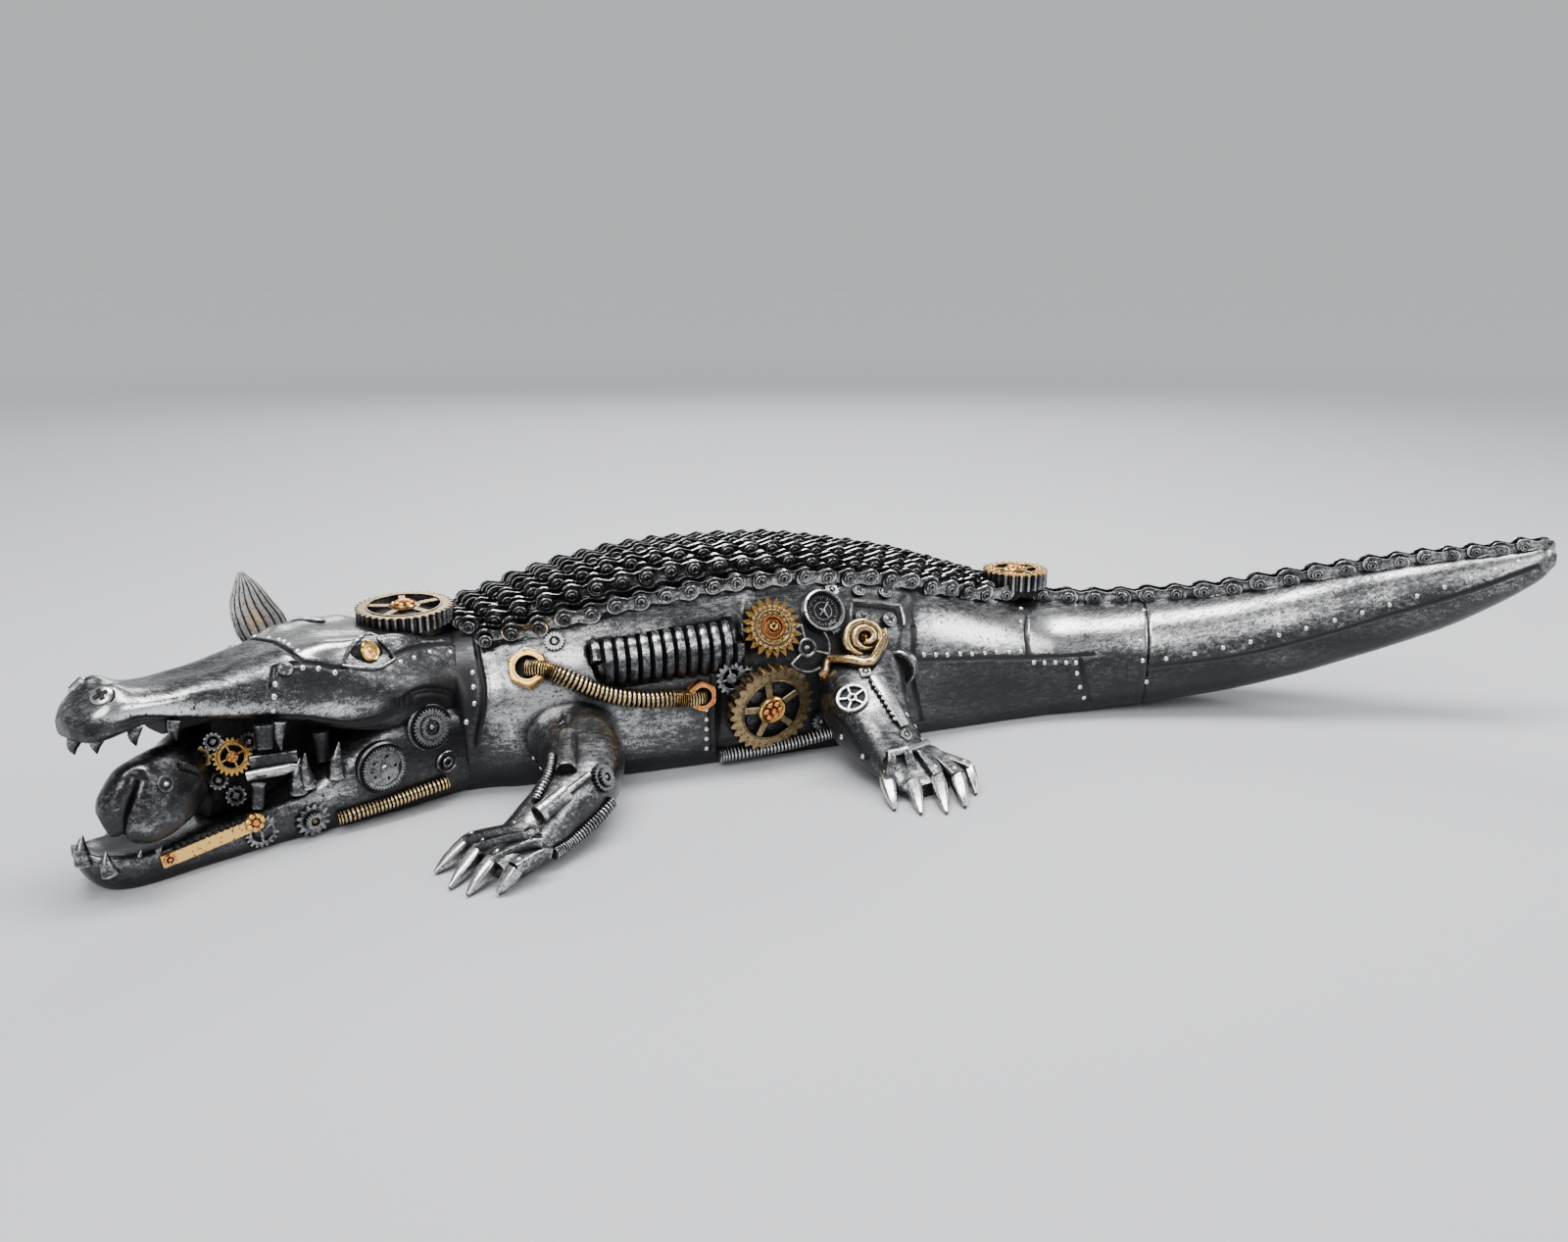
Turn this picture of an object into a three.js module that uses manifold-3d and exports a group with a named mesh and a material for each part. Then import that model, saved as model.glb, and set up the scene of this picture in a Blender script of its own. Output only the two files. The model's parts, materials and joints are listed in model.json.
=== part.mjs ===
// A crocodile figurine in the machine-age manner, a fish held crosswise in its jaws.
// Millimetres, +Z up. The origin is the middle of the flat belly, the floor is z = 0, the trunk
// lies along X with the head at -X, and the tail and head both swing toward -Y.
import * as THREE from "three";
import { mergeVertices } from "three/addons/utils/BufferGeometryUtils.js";
import Module from "manifold-3d";

const wasm = await Module();
wasm.setup();

// ---- driving dimensions ----
const FIT = 0.3; // gap all round where the fish passes through the mouth
const CHAIN_WIDTH = 7.4; // across the link plates
const CHAIN_PITCH = 9.6; // pin to pin on the trunk
const TAIL_PITCH = 11.6; // pin to pin on the tail
const CHAIN_PROUD = 5.6; // skin to the top of a link, over a pin
const CHAIN_WAIST = 4.2; // the same, between two pins
const ROW_SPACING = 10.3; // one row of chain to the next, round the back
const NECK_GEAR = { x: -173.5, y: -9, top: 67, tip: 17.6, root: 15.2, teeth: 20, thick: 7 };
const RUMP_GEAR = { x: 88, y: -7, top: 59.5, tip: 14.4, root: 12.2, teeth: 14, thick: 9 };
const BIG_GEAR = { x: -41, z: 24, tip: 18, root: 15.6, teeth: 20, proud: 4 };
const SPROCKET = { x: -38, z: 52.5, tip: 12.4, root: 9.8, teeth: 14, proud: 4.4 };
const GAUGE = { x: -17, z: 58, radius: 8.8, proud: 3.6 };
const COIL = { x: 2, z: 46, radius: 8, proud: 5 };
const LEG_SIDES = 8;
const BODY_SIDES = 16;

// ---- tables along the animal ----
// Plan line of the trunk and tail: x, y.
const PLAN = [
  [-190, -17], [-170, -8.5], [-150, -2], [-130, -0.2], [-100, 0], [0, 0], [40, 0], [60, -1], [80, -4.5],
  [100, -10], [125, -21], [150, -34], [200, -60], [250, -86], [288, -107],
];
// Trunk and tail: x, half width, top of the skin, height of the widest line, underside.
const TRUNK = [
  [-170, 34, 55, 24, -6], [-158, 39, 57, 24, -7], [-146, 42, 60, 24, -8], [-134, 43.5, 64.5, 24, -8], [-118, 45, 69.5, 23, -8],
  [-98, 46, 74, 22, -8], [-76, 46.5, 77, 22, -8], [-50, 46.5, 77.5, 22, -8], [-26, 46.5, 76.5, 22, -8],
  [-8, 46.5, 73.5, 22, -8], [8, 46, 70.5, 22, -8], [26, 45, 66.5, 22, -8], [44, 44, 61, 21, -8],
  [60, 42.5, 55.5, 20, -8], [76, 40.5, 50, 19.5, -8], [92, 38, 46, 18.5, -7], [108, 35.5, 44.5, 18, -6],
  [124, 32.5, 44.5, 18, -4], [140, 29.5, 46, 19.5, -1], [158, 26.5, 48, 23, 3], [178, 23.5, 51.5, 27.5, 8], [198, 20.5, 56.5, 33, 14.5],
  [218, 17.8, 61.5, 39.5, 22.5], [238, 15.2, 66, 46.5, 31], [256, 12.4, 69.5, 53.5, 40], [270, 9.6, 72, 60, 49],
  [279, 7.4, 74, 65, 56], [285, 5.2, 75.5, 69, 61.5], [288, 2.4, 74, 70, 66],
];
// The head axis starts between the jaw joints and runs to the snout.
const HEAD_ORIGIN = new THREE.Vector3(-187, -15.6, 0);
const HEAD_DIR = new THREE.Vector3(-0.8395, -0.5431, 0);
const HEAD_NEAR = new THREE.Vector3(0.5431, -0.8395, 0);
// Skull and upper jaw: distance along, half width, top, widest line, mouth line.
const SKULL = [
  [-34, 31, 55, 30, 12], [-20, 32, 59, 34, 17], [-6, 31, 61.5, 38, 22], [6, 30, 63, 42, 26.5], [18, 28, 64.5, 46, 30],
  [28, 25, 65, 49.5, 34], [38, 21.5, 64.5, 51.5, 38.5], [50, 18.8, 63.5, 53, 43], [64, 16, 62, 54.5, 47.5],
  [76, 14.2, 62, 56, 50.5], [86, 13.6, 63, 57, 51.5], [93, 13.8, 64, 57.5, 50.5], [98, 12.8, 62.5, 57, 49.5],
  [102, 9.8, 59.5, 56, 49.5], [104.8, 5, 57, 54.5, 51],
];
// Lower jaw: distance along, half width, top edge, widest line, underside.
const JAW = [
  [-36, 37, 34, 12, -6], [-20, 37, 36, 12, -6], [-6, 35, 37, 12, -6], [6, 32.5, 36, 11, -6], [14, 30.8, 33.5, 10.5, -5.5],
  [22, 28.6, 29.5, 10, -5], [30, 26.2, 25, 9.5, -4.5], [38, 23.6, 20, 9, -4.5], [50, 20.3, 15.5, 8.5, -4],
  [66, 17, 14, 8, -4], [80, 14.8, 12.6, 7.5, -3.5], [91, 13.4, 11.6, 7, -3], [98.5, 11, 11.8, 7.5, -1.5],
  [103, 8, 13.2, 9, 1], [106, 4.8, 15.2, 11.5, 5], [107.4, 2.6, 16.4, 13.5, 9.5],
];

// ---- table reading ----
// A smooth curve through the rows of a table, column by column.
function read(rows, t) {
  let i = 0;
  while (i < rows.length - 2 && rows[i + 1][0] <= t) i++;
  const a = rows[i], b = rows[i + 1];
  const before = rows[Math.max(i - 1, 0)], after = rows[Math.min(i + 2, rows.length - 1)];
  const span = b[0] - a[0];
  const u = Math.min(Math.max((t - a[0]) / span, 0), 1);
  return a.map((value, c) => {
    const startSlope = (b[c] - before[c]) / (b[0] - before[0]);
    const endSlope = (after[c] - a[c]) / (after[0] - a[0]);
    const h = u * u * (3 - 2 * u);
    return value * (1 - h) + b[c] * h +
      span * (startSlope * u * (1 - u) ** 2 - endSlope * u * u * (1 - u));
  });
}

function planPoint(x) {
  const y = read(PLAN, x)[1];
  const slope = (read(PLAN, x + 0.5)[1] - read(PLAN, x - 0.5)[1]);
  const along = new THREE.Vector3(1, slope, 0).normalize();
  return { at: new THREE.Vector3(x, y, 0), along, near: new THREE.Vector3(along.y, -along.x, 0) };
}

// Superellipse quarter by quarter: a = 0 is the top, positive a goes down the near side.
function superellipse(a, halfWidth, top, widest, bottom, upper, lower) {
  const s = Math.sin(a), c = Math.cos(a);
  const power = 2 / (c >= 0 ? upper : lower);
  const across = halfWidth * Math.sign(s) * Math.abs(s) ** power;
  const rise = (c >= 0 ? top - widest : widest - bottom) * Math.sign(c) * Math.abs(c) ** power;
  return [across, widest + rise];
}

function trunkPoint(x, a) {
  const [, halfWidth, top, widest, bottom] = read(TRUNK, x);
  const upper = THREE.MathUtils.clamp(2.25 - (x - 60) / 600, 1.9, 2.25);
  const lower = THREE.MathUtils.clamp(3.2 - (x - 60) / 70, 2.2, 3.2);
  const [across, z] = superellipse(a, halfWidth, top, widest, bottom, upper, lower);
  const { at, near } = planPoint(x);
  return at.addScaledVector(near, across).setZ(z);
}

// A point of the head's own frame: along the axis, toward the near side, height.
const inHead = (along, near, z) =>
  HEAD_ORIGIN.clone().addScaledVector(HEAD_DIR, along).addScaledVector(HEAD_NEAR, near).setZ(z);

// The head turns to the near side, so behind this place its far cheek draws in to meet the trunk.
const TUCK_FROM = -4;
const TUCK_LENGTH = 32;
const TUCK_SHARE = 0.28;

function headPoint(rows, along, a, upper, lower) {
  const [, halfWidth, top, widest, bottom] = read(rows, along);
  const [across, z] = superellipse(a, halfWidth, top, widest, bottom, upper, lower);
  const tuck = across < 0 ? 1 - TUCK_SHARE * (Math.max(0, TUCK_FROM - along) / TUCK_LENGTH) ** 2 : 1;
  return inHead(along, across * tuck, z);
}

// Outward normal of a surface point(u, v) with the middle of the section given.
function normalOf(point, u, v, du, dv, middle) {
  const a = point(u + du, v).sub(point(u - du, v));
  const b = point(u, v + dv).sub(point(u, v - dv));
  const n = a.cross(b).normalize();
  return n.dot(point(u, v).sub(middle)) < 0 ? n.negate() : n;
}

function onTrunk(x, a) {
  const { at } = planPoint(x);
  const middle = at.clone().setZ(read(TRUNK, x)[3]);
  return { point: trunkPoint(x, a), normal: normalOf(trunkPoint, x, a, 1, 0.05, middle) };
}

// The near flank at a height, or the far one with side = -1.
function onFlank(x, z, side = 1) {
  let low = 0, high = Math.PI * 0.75;
  for (let i = 0; i < 30; i++) {
    const mid = (low + high) / 2;
    if (trunkPoint(x, mid).z > z) low = mid; else high = mid;
  }
  return onTrunk(x, side * low);
}

// The back at an arc length from the ridge, positive to the near side.
function onBack(x, arc) {
  const steps = 60, side = Math.sign(arc) || 1;
  let gone = 0, a = 0, last = trunkPoint(x, 0);
  for (let i = 1; i <= steps && gone < Math.abs(arc); i++) {
    a = (i / steps) * 1.5;
    const next = trunkPoint(x, side * a);
    gone += next.distanceTo(last);
    last = next;
  }
  return onTrunk(x, side * a);
}

// ---- solids ----
function solid(geometry) {
  geometry.deleteAttribute("normal");
  geometry.deleteAttribute("uv");
  const merged = mergeVertices(geometry, 1e-4);
  const make = (flip) => {
    const triVerts = new Uint32Array(merged.index.array);
    if (flip)
      for (let i = 0; i < triVerts.length; i += 3)
        [triVerts[i + 1], triVerts[i + 2]] = [triVerts[i + 2], triVerts[i + 1]];
    return new wasm.Manifold(new wasm.Mesh({
      numProp: 3, vertProperties: merged.attributes.position.array, triVerts,
    }));
  };
  const made = make(false);
  return made.volume() < 0 ? make(true) : made;
}

// A skin through rings of points, closed at both ends by a fan.
function loft(rings) {
  const sides = rings[0].length, positions = [], index = [];
  for (const ring of rings) for (const p of ring) positions.push(p.x, p.y, p.z);
  for (let r = 0; r < rings.length - 1; r++)
    for (let i = 0; i < sides; i++) {
      const j = (i + 1) % sides, a = r * sides, b = a + sides;
      index.push(a + i, a + j, b + j, a + i, b + j, b + i);
    }
  for (const [r, flip] of [[0, true], [rings.length - 1, false]]) {
    const middle = new THREE.Vector3();
    for (const p of rings[r]) middle.add(p);
    middle.divideScalar(sides);
    const centre = positions.length / 3;
    positions.push(middle.x, middle.y, middle.z);
    for (let i = 0; i < sides; i++) {
      const j = (i + 1) % sides;
      if (flip) index.push(centre, r * sides + j, r * sides + i);
      else index.push(centre, r * sides + i, r * sides + j);
    }
  }
  const geometry = new THREE.BufferGeometry();
  geometry.setAttribute("position", new THREE.Float32BufferAttribute(positions, 3));
  geometry.setIndex(index);
  return solid(geometry);
}

// A limb through stations { c, w, h }: centre, half width across, half height.
// The sections stand square to the path, and each keeps its own height direction near +Z.
function limb(stations, sides, squareness = 2) {
  const rings = stations.map((station, i) => {
    const before = stations[Math.max(i - 1, 0)].c, after = stations[Math.min(i + 1, stations.length - 1)].c;
    const forward = after.clone().sub(before).normalize();
    const lift = Math.abs(forward.z) > 0.9 ? new THREE.Vector3(1, 0, 0) : new THREE.Vector3(0, 0, 1);
    const across = forward.clone().cross(lift).normalize();
    const up = across.clone().cross(forward).normalize();
    return Array.from({ length: sides }, (_, k) => {
      const a = ((k + 0.5) / sides) * 2 * Math.PI, s = Math.sin(a), c = Math.cos(a), power = 2 / squareness;
      return station.c.clone()
        .addScaledVector(across, station.w * Math.sign(c) * Math.abs(c) ** power)
        .addScaledVector(up, station.h * Math.sign(s) * Math.abs(s) ** power);
    });
  });
  return loft(rings);
}

const V = (x, y, z) => new THREE.Vector3(x, y, z);

// A round rod through points.
function tube(points, radius, sides = 6, steps = points.length * 2) {
  const curve = new THREE.CatmullRomCurve3(points);
  const stations = Array.from({ length: steps + 1 }, (_, i) => ({
    c: curve.getPoint(i / steps), w: radius, h: radius,
  }));
  return limb(stations, sides);
}

// A frame on a surface: z axis along the normal, x axis toward the hint.
function frameAt(point, normal, hint = V(1, 0, 0)) {
  const z = normal.clone().normalize();
  const y = z.clone().cross(hint).normalize();
  const x = y.clone().cross(z);
  return new THREE.Matrix4().makeBasis(x, y, z).setPosition(point);
}

// A plate of the given outline from z = -under to z = over in a surface frame.
function plate(shape, frame, under, over) {
  const geometry = new THREE.ExtrudeGeometry(shape, { depth: under + over, bevelEnabled: false, curveSegments: 1 });
  geometry.translate(0, 0, -under);
  geometry.applyMatrix4(frame);
  return solid(geometry);
}

function polygon(radius, sides, turn = 0) {
  const shape = new THREE.Shape();
  for (let i = 0; i < sides; i++) {
    const a = turn + (i / sides) * 2 * Math.PI;
    shape[i ? "lineTo" : "moveTo"](radius * Math.cos(a), radius * Math.sin(a));
  }
  shape.closePath();
  return shape;
}

// Teeth as corners { part of the pitch, 0 at the root to 1 at the tip }: cut square or plain pointed.
const SQUARE = [[0.04, 0], [0.2, 1], [0.52, 1], [0.68, 0]];
const POINTED = [[0, 0], [0.5, 1]];

// A toothed wheel, with kidney windows between two radii when asked for.
function wheel({ tip, root, teeth }, form, windows = 0) {
  const shape = new THREE.Shape();
  const step = (2 * Math.PI) / teeth;
  for (let i = 0; i < teeth; i++)
    form.forEach(([part, rise], k) => {
      const a = (i + part) * step, r = root + (tip - root) * rise;
      shape[i || k ? "lineTo" : "moveTo"](r * Math.cos(a), r * Math.sin(a));
    });
  shape.closePath();
  for (let i = 0; i < windows; i++) {
    const hole = new THREE.Path();
    const from = ((i + 0.16) / windows) * 2 * Math.PI, to = ((i + 0.84) / windows) * 2 * Math.PI;
    const ring = [0, 0.5, 1].map((u) => [root * 0.8, from + (to - from) * u])
      .concat([1, 0].map((u) => [root * 0.42, from + (to - from) * u]));
    ring.forEach(([r, a], k) => hole[k ? "lineTo" : "moveTo"](r * Math.cos(a), r * Math.sin(a)));
    hole.closePath();
    shape.holes.push(hole);
  }
  return shape;
}

const disc = (frame, radius, under, over, sides = 12) => plate(polygon(radius, sides), frame, under, over);

// A tooth or claw: a cone from base to tip.
function spike(base, tip, radius) {
  return limb([{ c: base, w: radius, h: radius }, { c: tip, w: radius * 0.2, h: radius * 0.2 }], 4);
}

const join = (solids) => solids.reduce((a, b) => a.add(b));

// ---- trunk and tail ----
function ringOf(point, sides) {
  return Array.from({ length: sides }, (_, i) => point(((i + 0.5) / sides) * 2 * Math.PI - Math.PI));
}

const trunkStations = TRUNK.map((row) => row[0]);
const trunk = loft(trunkStations.map((x) => ringOf((a) => trunkPoint(x, a), BODY_SIDES)));

// ---- head ----
const skull = loft(SKULL.map(([along]) => ringOf((a) => headPoint(SKULL, along, a, 2.3, 4.5), 14)));
const jaw = loft(JAW.map(([along]) => ringOf((a) => headPoint(JAW, along, a, 5, 2.6), 12)));
const headParts = [skull, jaw];
const NEAR = 1, FAR = -1;
for (const side of [NEAR, FAR]) {
  // Brow ridge over the eye, eye disc, nostril swelling.
  headParts.push(limb([
    { c: inHead(-4, side * 20, 58), w: 3, h: 3 }, { c: inHead(7, side * 19, 60.5), w: 6.5, h: 4.4 },
    { c: inHead(18, side * 17.5, 60.5), w: 6.5, h: 4.4 }, { c: inHead(30, side * 13.5, 59), w: 3, h: 3 },
  ], 6));
  const outward = HEAD_NEAR.clone().multiplyScalar(side).add(V(0, 0, 0.35)).normalize();
  headParts.push(disc(frameAt(inHead(13, side * 23, 57.5), outward), 5.2, 4, 3.2, 8));
  headParts.push(limb([
    { c: inHead(84, side * 6, 60), w: 2, h: 2 }, { c: inHead(91, side * 6, 62), w: 4.6, h: 3.4 },
    { c: inHead(96, side * 6, 61), w: 4.6, h: 3.4 }, { c: inHead(101, side * 5, 57), w: 2, h: 2 },
  ], 5));
}

// Teeth: distance along, height of the gum, length.
const UPPER_TEETH = [[98, 51, 7.5], [89, 51, 6.5], [79, 51, 7], [65, 48.5, 6], [49, 44, 9]];
const LOWER_TEETH = [[102, 12.5, 9], [93, 11, 7], [57, 14.2, 7.5], [43.5, 17, 12], [31.5, 23.5, 8.5]];
for (const side of [NEAR, FAR]) {
  for (const [along, z, length] of UPPER_TEETH.slice(0, side === NEAR ? 5 : 3)) {
    const near = side * (read(SKULL, along)[1] - 3);
    headParts.push(spike(inHead(along, near, z + 2), inHead(along, near, z - length), 1.9));
  }
  for (const [along, z, length] of LOWER_TEETH.slice(0, side === NEAR ? 5 : 3)) {
    const near = side * (read(JAW, along)[1] - 3);
    headParts.push(spike(inHead(along, near, z - 2), inHead(along + 1, near, z + length), 2.1));
  }
  // Cheek wheels, the hose under them and the boss on the lower jaw.
  const outward = HEAD_NEAR.clone().multiplyScalar(side);
  const cheek = (along, near, z, shape, over) =>
    headParts.push(plate(shape, frameAt(inHead(along, side * near, z), outward), 6, over));
  const cog = (tip, teeth) =>
    side === NEAR ? wheel({ tip, root: tip * 0.84, teeth }, POINTED) : polygon(tip, 8);
  cheek(-1, 33, 29, cog(8.6, 10), 2.2);
  cheek(20, 28.5, 19, cog(8.8, 10), 1.8);
  cheek(58, 18.4, 9.5, polygon(5.6, 8), 1.8);
  headParts.push(tube([inHead(36, side * 23.4, 4.5), inHead(10, side * 30.4, 4.5), inHead(-10, side * 36, 4.5)], 2.6, 5, 3));
}

// ---- legs ----
// Each leg: stations from inside the trunk to the palm, then toes { x, y } fanned from the wrist.
const FRONT_LEG = [
  { c: V(-119, -30, 20), w: 17, h: 13 }, { c: V(-119, -47, 20.5), w: 16.5, h: 13 }, { c: V(-118.5, -61, 19.5), w: 15, h: 12.5 },
  { c: V(-121, -75, 16), w: 13.5, h: 12.5 }, { c: V(-130, -88, 13.5), w: 11.5, h: 11.5 },
  { c: V(-142, -99, 10), w: 9.8, h: 8.5 }, { c: V(-150, -105, 8), w: 10.5, h: 6.5 }, { c: V(-156, -108, 6.5), w: 8.5, h: 4.5 },
];
const HIND_LEG = [
  { c: V(1, -28, 26), w: 19, h: 18 }, { c: V(-2, -42, 26), w: 18.5, h: 16.5 }, { c: V(-6, -55, 23.5), w: 17, h: 15 },
  { c: V(-7, -67, 18.5), w: 15.5, h: 13 }, { c: V(-4.5, -78, 12.5), w: 13.5, h: 10 }, { c: V(-1, -87, 8.5), w: 12.5, h: 7 },
  { c: V(1.5, -93, 6), w: 12.5, h: 5 }, { c: V(2.5, -98, 4.5), w: 10, h: 3.5 },
];
// Toes: tip x, y, then the knuckle x, y, z and the root x, y, z.
const FRONT_TOES = [
  [-173, -97, -161, -93, 10.5, -150, -98, 10], [-170, -110, -160, -104, 9.5, -149, -102, 10],
  [-165.5, -115.5, -156, -110, 9, -147, -105, 9], [-155, -118.5, -149.5, -115.5, 7, -143, -108, 7.5],
];
const HIND_TOES = [
  [-14, -103.5, -12.5, -96, 5.5, -9, -87, 7], [-7, -111, -5, -99, 6.5, -4, -90, 7], [2, -112, 3, -99, 6.5, 2, -91, 7],
  [11, -110, 10, -98, 6.5, 7, -90, 7], [19.5, -103, 17, -94, 6, 11, -87, 7],
];
const TOE_RADIUS = 3.1;

function leg(stations, toes, side) {
  const place = (v) => V(v.x, side * -v.y, v.z);
  const parts = [limb(stations.map((s) => ({ ...s, c: place(s.c) })), LEG_SIDES, 2.2)];
  for (const [tx, ty, kx, ky, kz, rx, ry, rz] of toes) {
    const root = place(V(rx, ry, rz)), knuckle = place(V(kx, ky, kz)), tip = place(V(tx, ty, 1.2));
    parts.push(limb([
      { c: root, w: TOE_RADIUS, h: TOE_RADIUS }, { c: knuckle, w: TOE_RADIUS, h: TOE_RADIUS },
      { c: tip, w: 0.9, h: 1 },
    ], 5));
  }
  return join(parts);
}
const legs = [-1, 1].flatMap((side) => [leg(FRONT_LEG, FRONT_TOES, side), leg(HIND_LEG, HIND_TOES, side)]);

// ---- chains ----
// Rows on the back, offset by arc from the ridge; they close up toward the neck and rump wheels.
const SPREAD = [
  [-160, 0.55], [-148, 0.78], [-132, 0.93], [-112, 1], [-70, 1], [-40, 0.94], [0, 0.87], [24, 0.81], [45, 0.75], [70, 0.5],
];

function chain(from, to, row) {
  const rings = [], plain = row !== 0; // only the ridge shows each link
  let x = from, high = true;
  while (x <= to) {
    const small = Math.min(1, 0.75 + (288 - x) / 400);
    const { point, normal } = onBack(x, row * ROW_SPACING * read(SPREAD, x)[1]);
    const across = normal.clone().cross(planPoint(x).along).normalize();
    const half = (CHAIN_WIDTH / 2) * small, under = plain ? 2.4 : 1.2; // depth sunk in the skin
    const rise = plain ? (CHAIN_PROUD + CHAIN_WAIST) / 2 : high ? CHAIN_PROUD : CHAIN_WAIST;
    const proud = rise * (x > 100 ? 1.15 : 1);
    rings.push([[-half, proud], [half, proud], [half * 0.9, -under], [-half * 0.9, -under]].map(([w, h]) =>
      point.clone().addScaledVector(across, w).addScaledVector(normal, h)));
    x += (x < 90 ? CHAIN_PITCH : TAIL_PITCH) * (plain ? 2 : 0.5);
    high = !high;
  }
  return loft(rings);
}
const ROW_ENDS = [[-160, 280], [-150, 72], [-148, 52], [-148, 50]];
const chains = ROW_ENDS.flatMap(([from, to], row) =>
  row ? [chain(from, to, row), chain(from, to, -row)] : [chain(from, to, 0)]);

// ---- wheels on the back ----
function flatWheel(g, form, windows) {
  const frame = new THREE.Matrix4().setPosition(g.x, g.y, g.top);
  return plate(wheel(g, form, windows), frame, g.thick, 0)
    .add(disc(frame, g.root * 0.88, g.thick + 8, -2.2, 10))
    .add(disc(frame, g.root * 0.26, 3, 1.6, 8));
}
const backWheels = [flatWheel(NECK_GEAR, SQUARE, 5), flatWheel(RUMP_GEAR, POINTED, 0)];

// ---- flank machinery, both sides ----
function flank(side) {
  const parts = [], near = side === NEAR;
  const put = (x, z, shape, over, under = 6) => {
    const { point, normal } = onFlank(x, z, side);
    parts.push(plate(shape, frameAt(point, normal), under, over));
  };
  const proudOf = (list, proud) => list.map(([x, z]) => {
    const { point, normal } = onFlank(x, z, side);
    return point.addScaledVector(normal, proud);
  });
  if (near) {
    // Spring lying in the side, its turns standing out as ribs.
    const turns = 12, a = onFlank(-109, 46, side), b = onFlank(-54, 49.5, side);
    const inward = a.normal.clone().add(b.normal).normalize().multiplyScalar(-4.5);
    const start = a.point.clone().add(inward), end = b.point.clone().add(inward);
    parts.push(limb(Array.from({ length: turns * 2 + 1 }, (_, i) => ({
      c: start.clone().lerp(end, i / (turns * 2)), w: i % 2 ? 9.8 : 8, h: i % 2 ? 9.8 : 8,
    })), 6));
    put(BIG_GEAR.x, BIG_GEAR.z, wheel(BIG_GEAR, POINTED, 5), BIG_GEAR.proud, 3);
    put(SPROCKET.x, SPROCKET.z, wheel(SPROCKET, POINTED), SPROCKET.proud);
    put(GAUGE.x, GAUGE.z, polygon(GAUGE.radius, 12), GAUGE.proud);
    put(COIL.x, COIL.z, polygon(COIL.radius, 10), COIL.proud);
  } else {
    put(BIG_GEAR.x, BIG_GEAR.z, polygon(BIG_GEAR.root, 14), BIG_GEAR.proud, 3);
    put(SPROCKET.x, SPROCKET.z, polygon(SPROCKET.root, 10), SPROCKET.proud);
  }
  put(BIG_GEAR.x, BIG_GEAR.z, polygon(4.6, 8), BIG_GEAR.proud + 2.4);
  put(-131, 45, polygon(7, 6), 4.6);
  put(-68, 29, polygon(5.4, 6), 4.6);
  // Hose from nut to nut along the ribs, and the hose along the belly edge.
  const hose = [[-130, 45], [-122, 39], [-110, 32], [-96, 28.5], [-82, 28], [-68, 29]];
  parts.push(tube(proudOf(hose, 2.2), 3.3, 5, near ? 6 : 4));
  if (near) parts.push(tube(proudOf([[-62, 5], [-38, 6], [-16, 8]], 1), 2.4, 5, 3));
  return join(parts);
}
const flanks = [flank(NEAR), flank(FAR)];

// ---- the fish ----
// Stations in the head's frame: along, near, height, half thickness, half height.
const FISH = [
  [102.5, 12.5, 25.5, 2.5, 4.5], [99.7, 12.5, 26.4, 6, 8.8], [95.5, 12.5, 27.4, 9, 12.2], [90, 12.2, 28.5, 10.5, 13.8],
  [83, 9.5, 29, 10.5, 13.8], [75, 3.5, 30.2, 9.5, 12.6], [62, -9, 34, 7.4, 10.8],
  [49, -20, 39.5, 5.6, 9.2], [38, -29, 44, 4.2, 7.4], [27, -36.5, 47.5, 2.8, 5.6], [20, -40.5, 50, 2, 4.5],
];
// Tail fin: along, near, height, half thickness, half breadth.
const FIN = [
  [18, -40.5, 49, 1.9, 6.5], [18.5, -40.5, 58, 1.7, 10.2], [21.5, -40.5, 68, 1.4, 8.2],
  [22.6, -40.5, 75, 1.1, 4.8], [23.8, -40.5, 80.5, 0.7, 1],
];

function fishSolid(clearance) {
  const body = limb(FISH.map(([along, near, z, w, h]) => ({
    c: inHead(along, near, z), w: w + clearance, h: h + clearance,
  })), 10);
  const fin = loft(FIN.map(([along, near, z, thick, broad]) =>
    [[1, 0], [0.3, 1], [-0.3, 1], [-1, 0], [-0.3, -1], [0.3, -1]].map(([u, v]) =>
      inHead(along + u * (broad + clearance), near + v * (thick + clearance), z))));
  return body.add(fin);
}

// ---- assembly ----
const floor = [0, 0, 1];
const fish = fishSolid(0).trimByPlane(floor, 0);
const crocodile = join([trunk, ...headParts, ...legs, ...chains, ...backWheels, ...flanks])
  .subtract(fishSolid(FIT))
  .trimByPlane(floor, 0)
  .simplify(0.1);

function meshOf(made, name, colour, roughness, metalness) {
  const m = made.getMesh();
  const geometry = new THREE.BufferGeometry();
  geometry.setAttribute("position", new THREE.BufferAttribute(Float32Array.from(m.vertProperties), 3));
  geometry.setIndex(new THREE.BufferAttribute(Uint32Array.from(m.triVerts), 1));
  const flat = geometry.toNonIndexed();
  flat.computeVertexNormals();
  const mesh = new THREE.Mesh(flat, new THREE.MeshStandardMaterial({ color: colour, roughness, metalness }));
  mesh.name = name;
  return mesh;
}

const group = new THREE.Group();
group.name = "crocodile_figurine";
group.add(meshOf(crocodile, "crocodile", 0x6b6c6e, 0.42, 0.85));
group.add(meshOf(fish, "fish", 0x55575a, 0.45, 0.85));
export default group;
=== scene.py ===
# %% [markdown]
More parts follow.
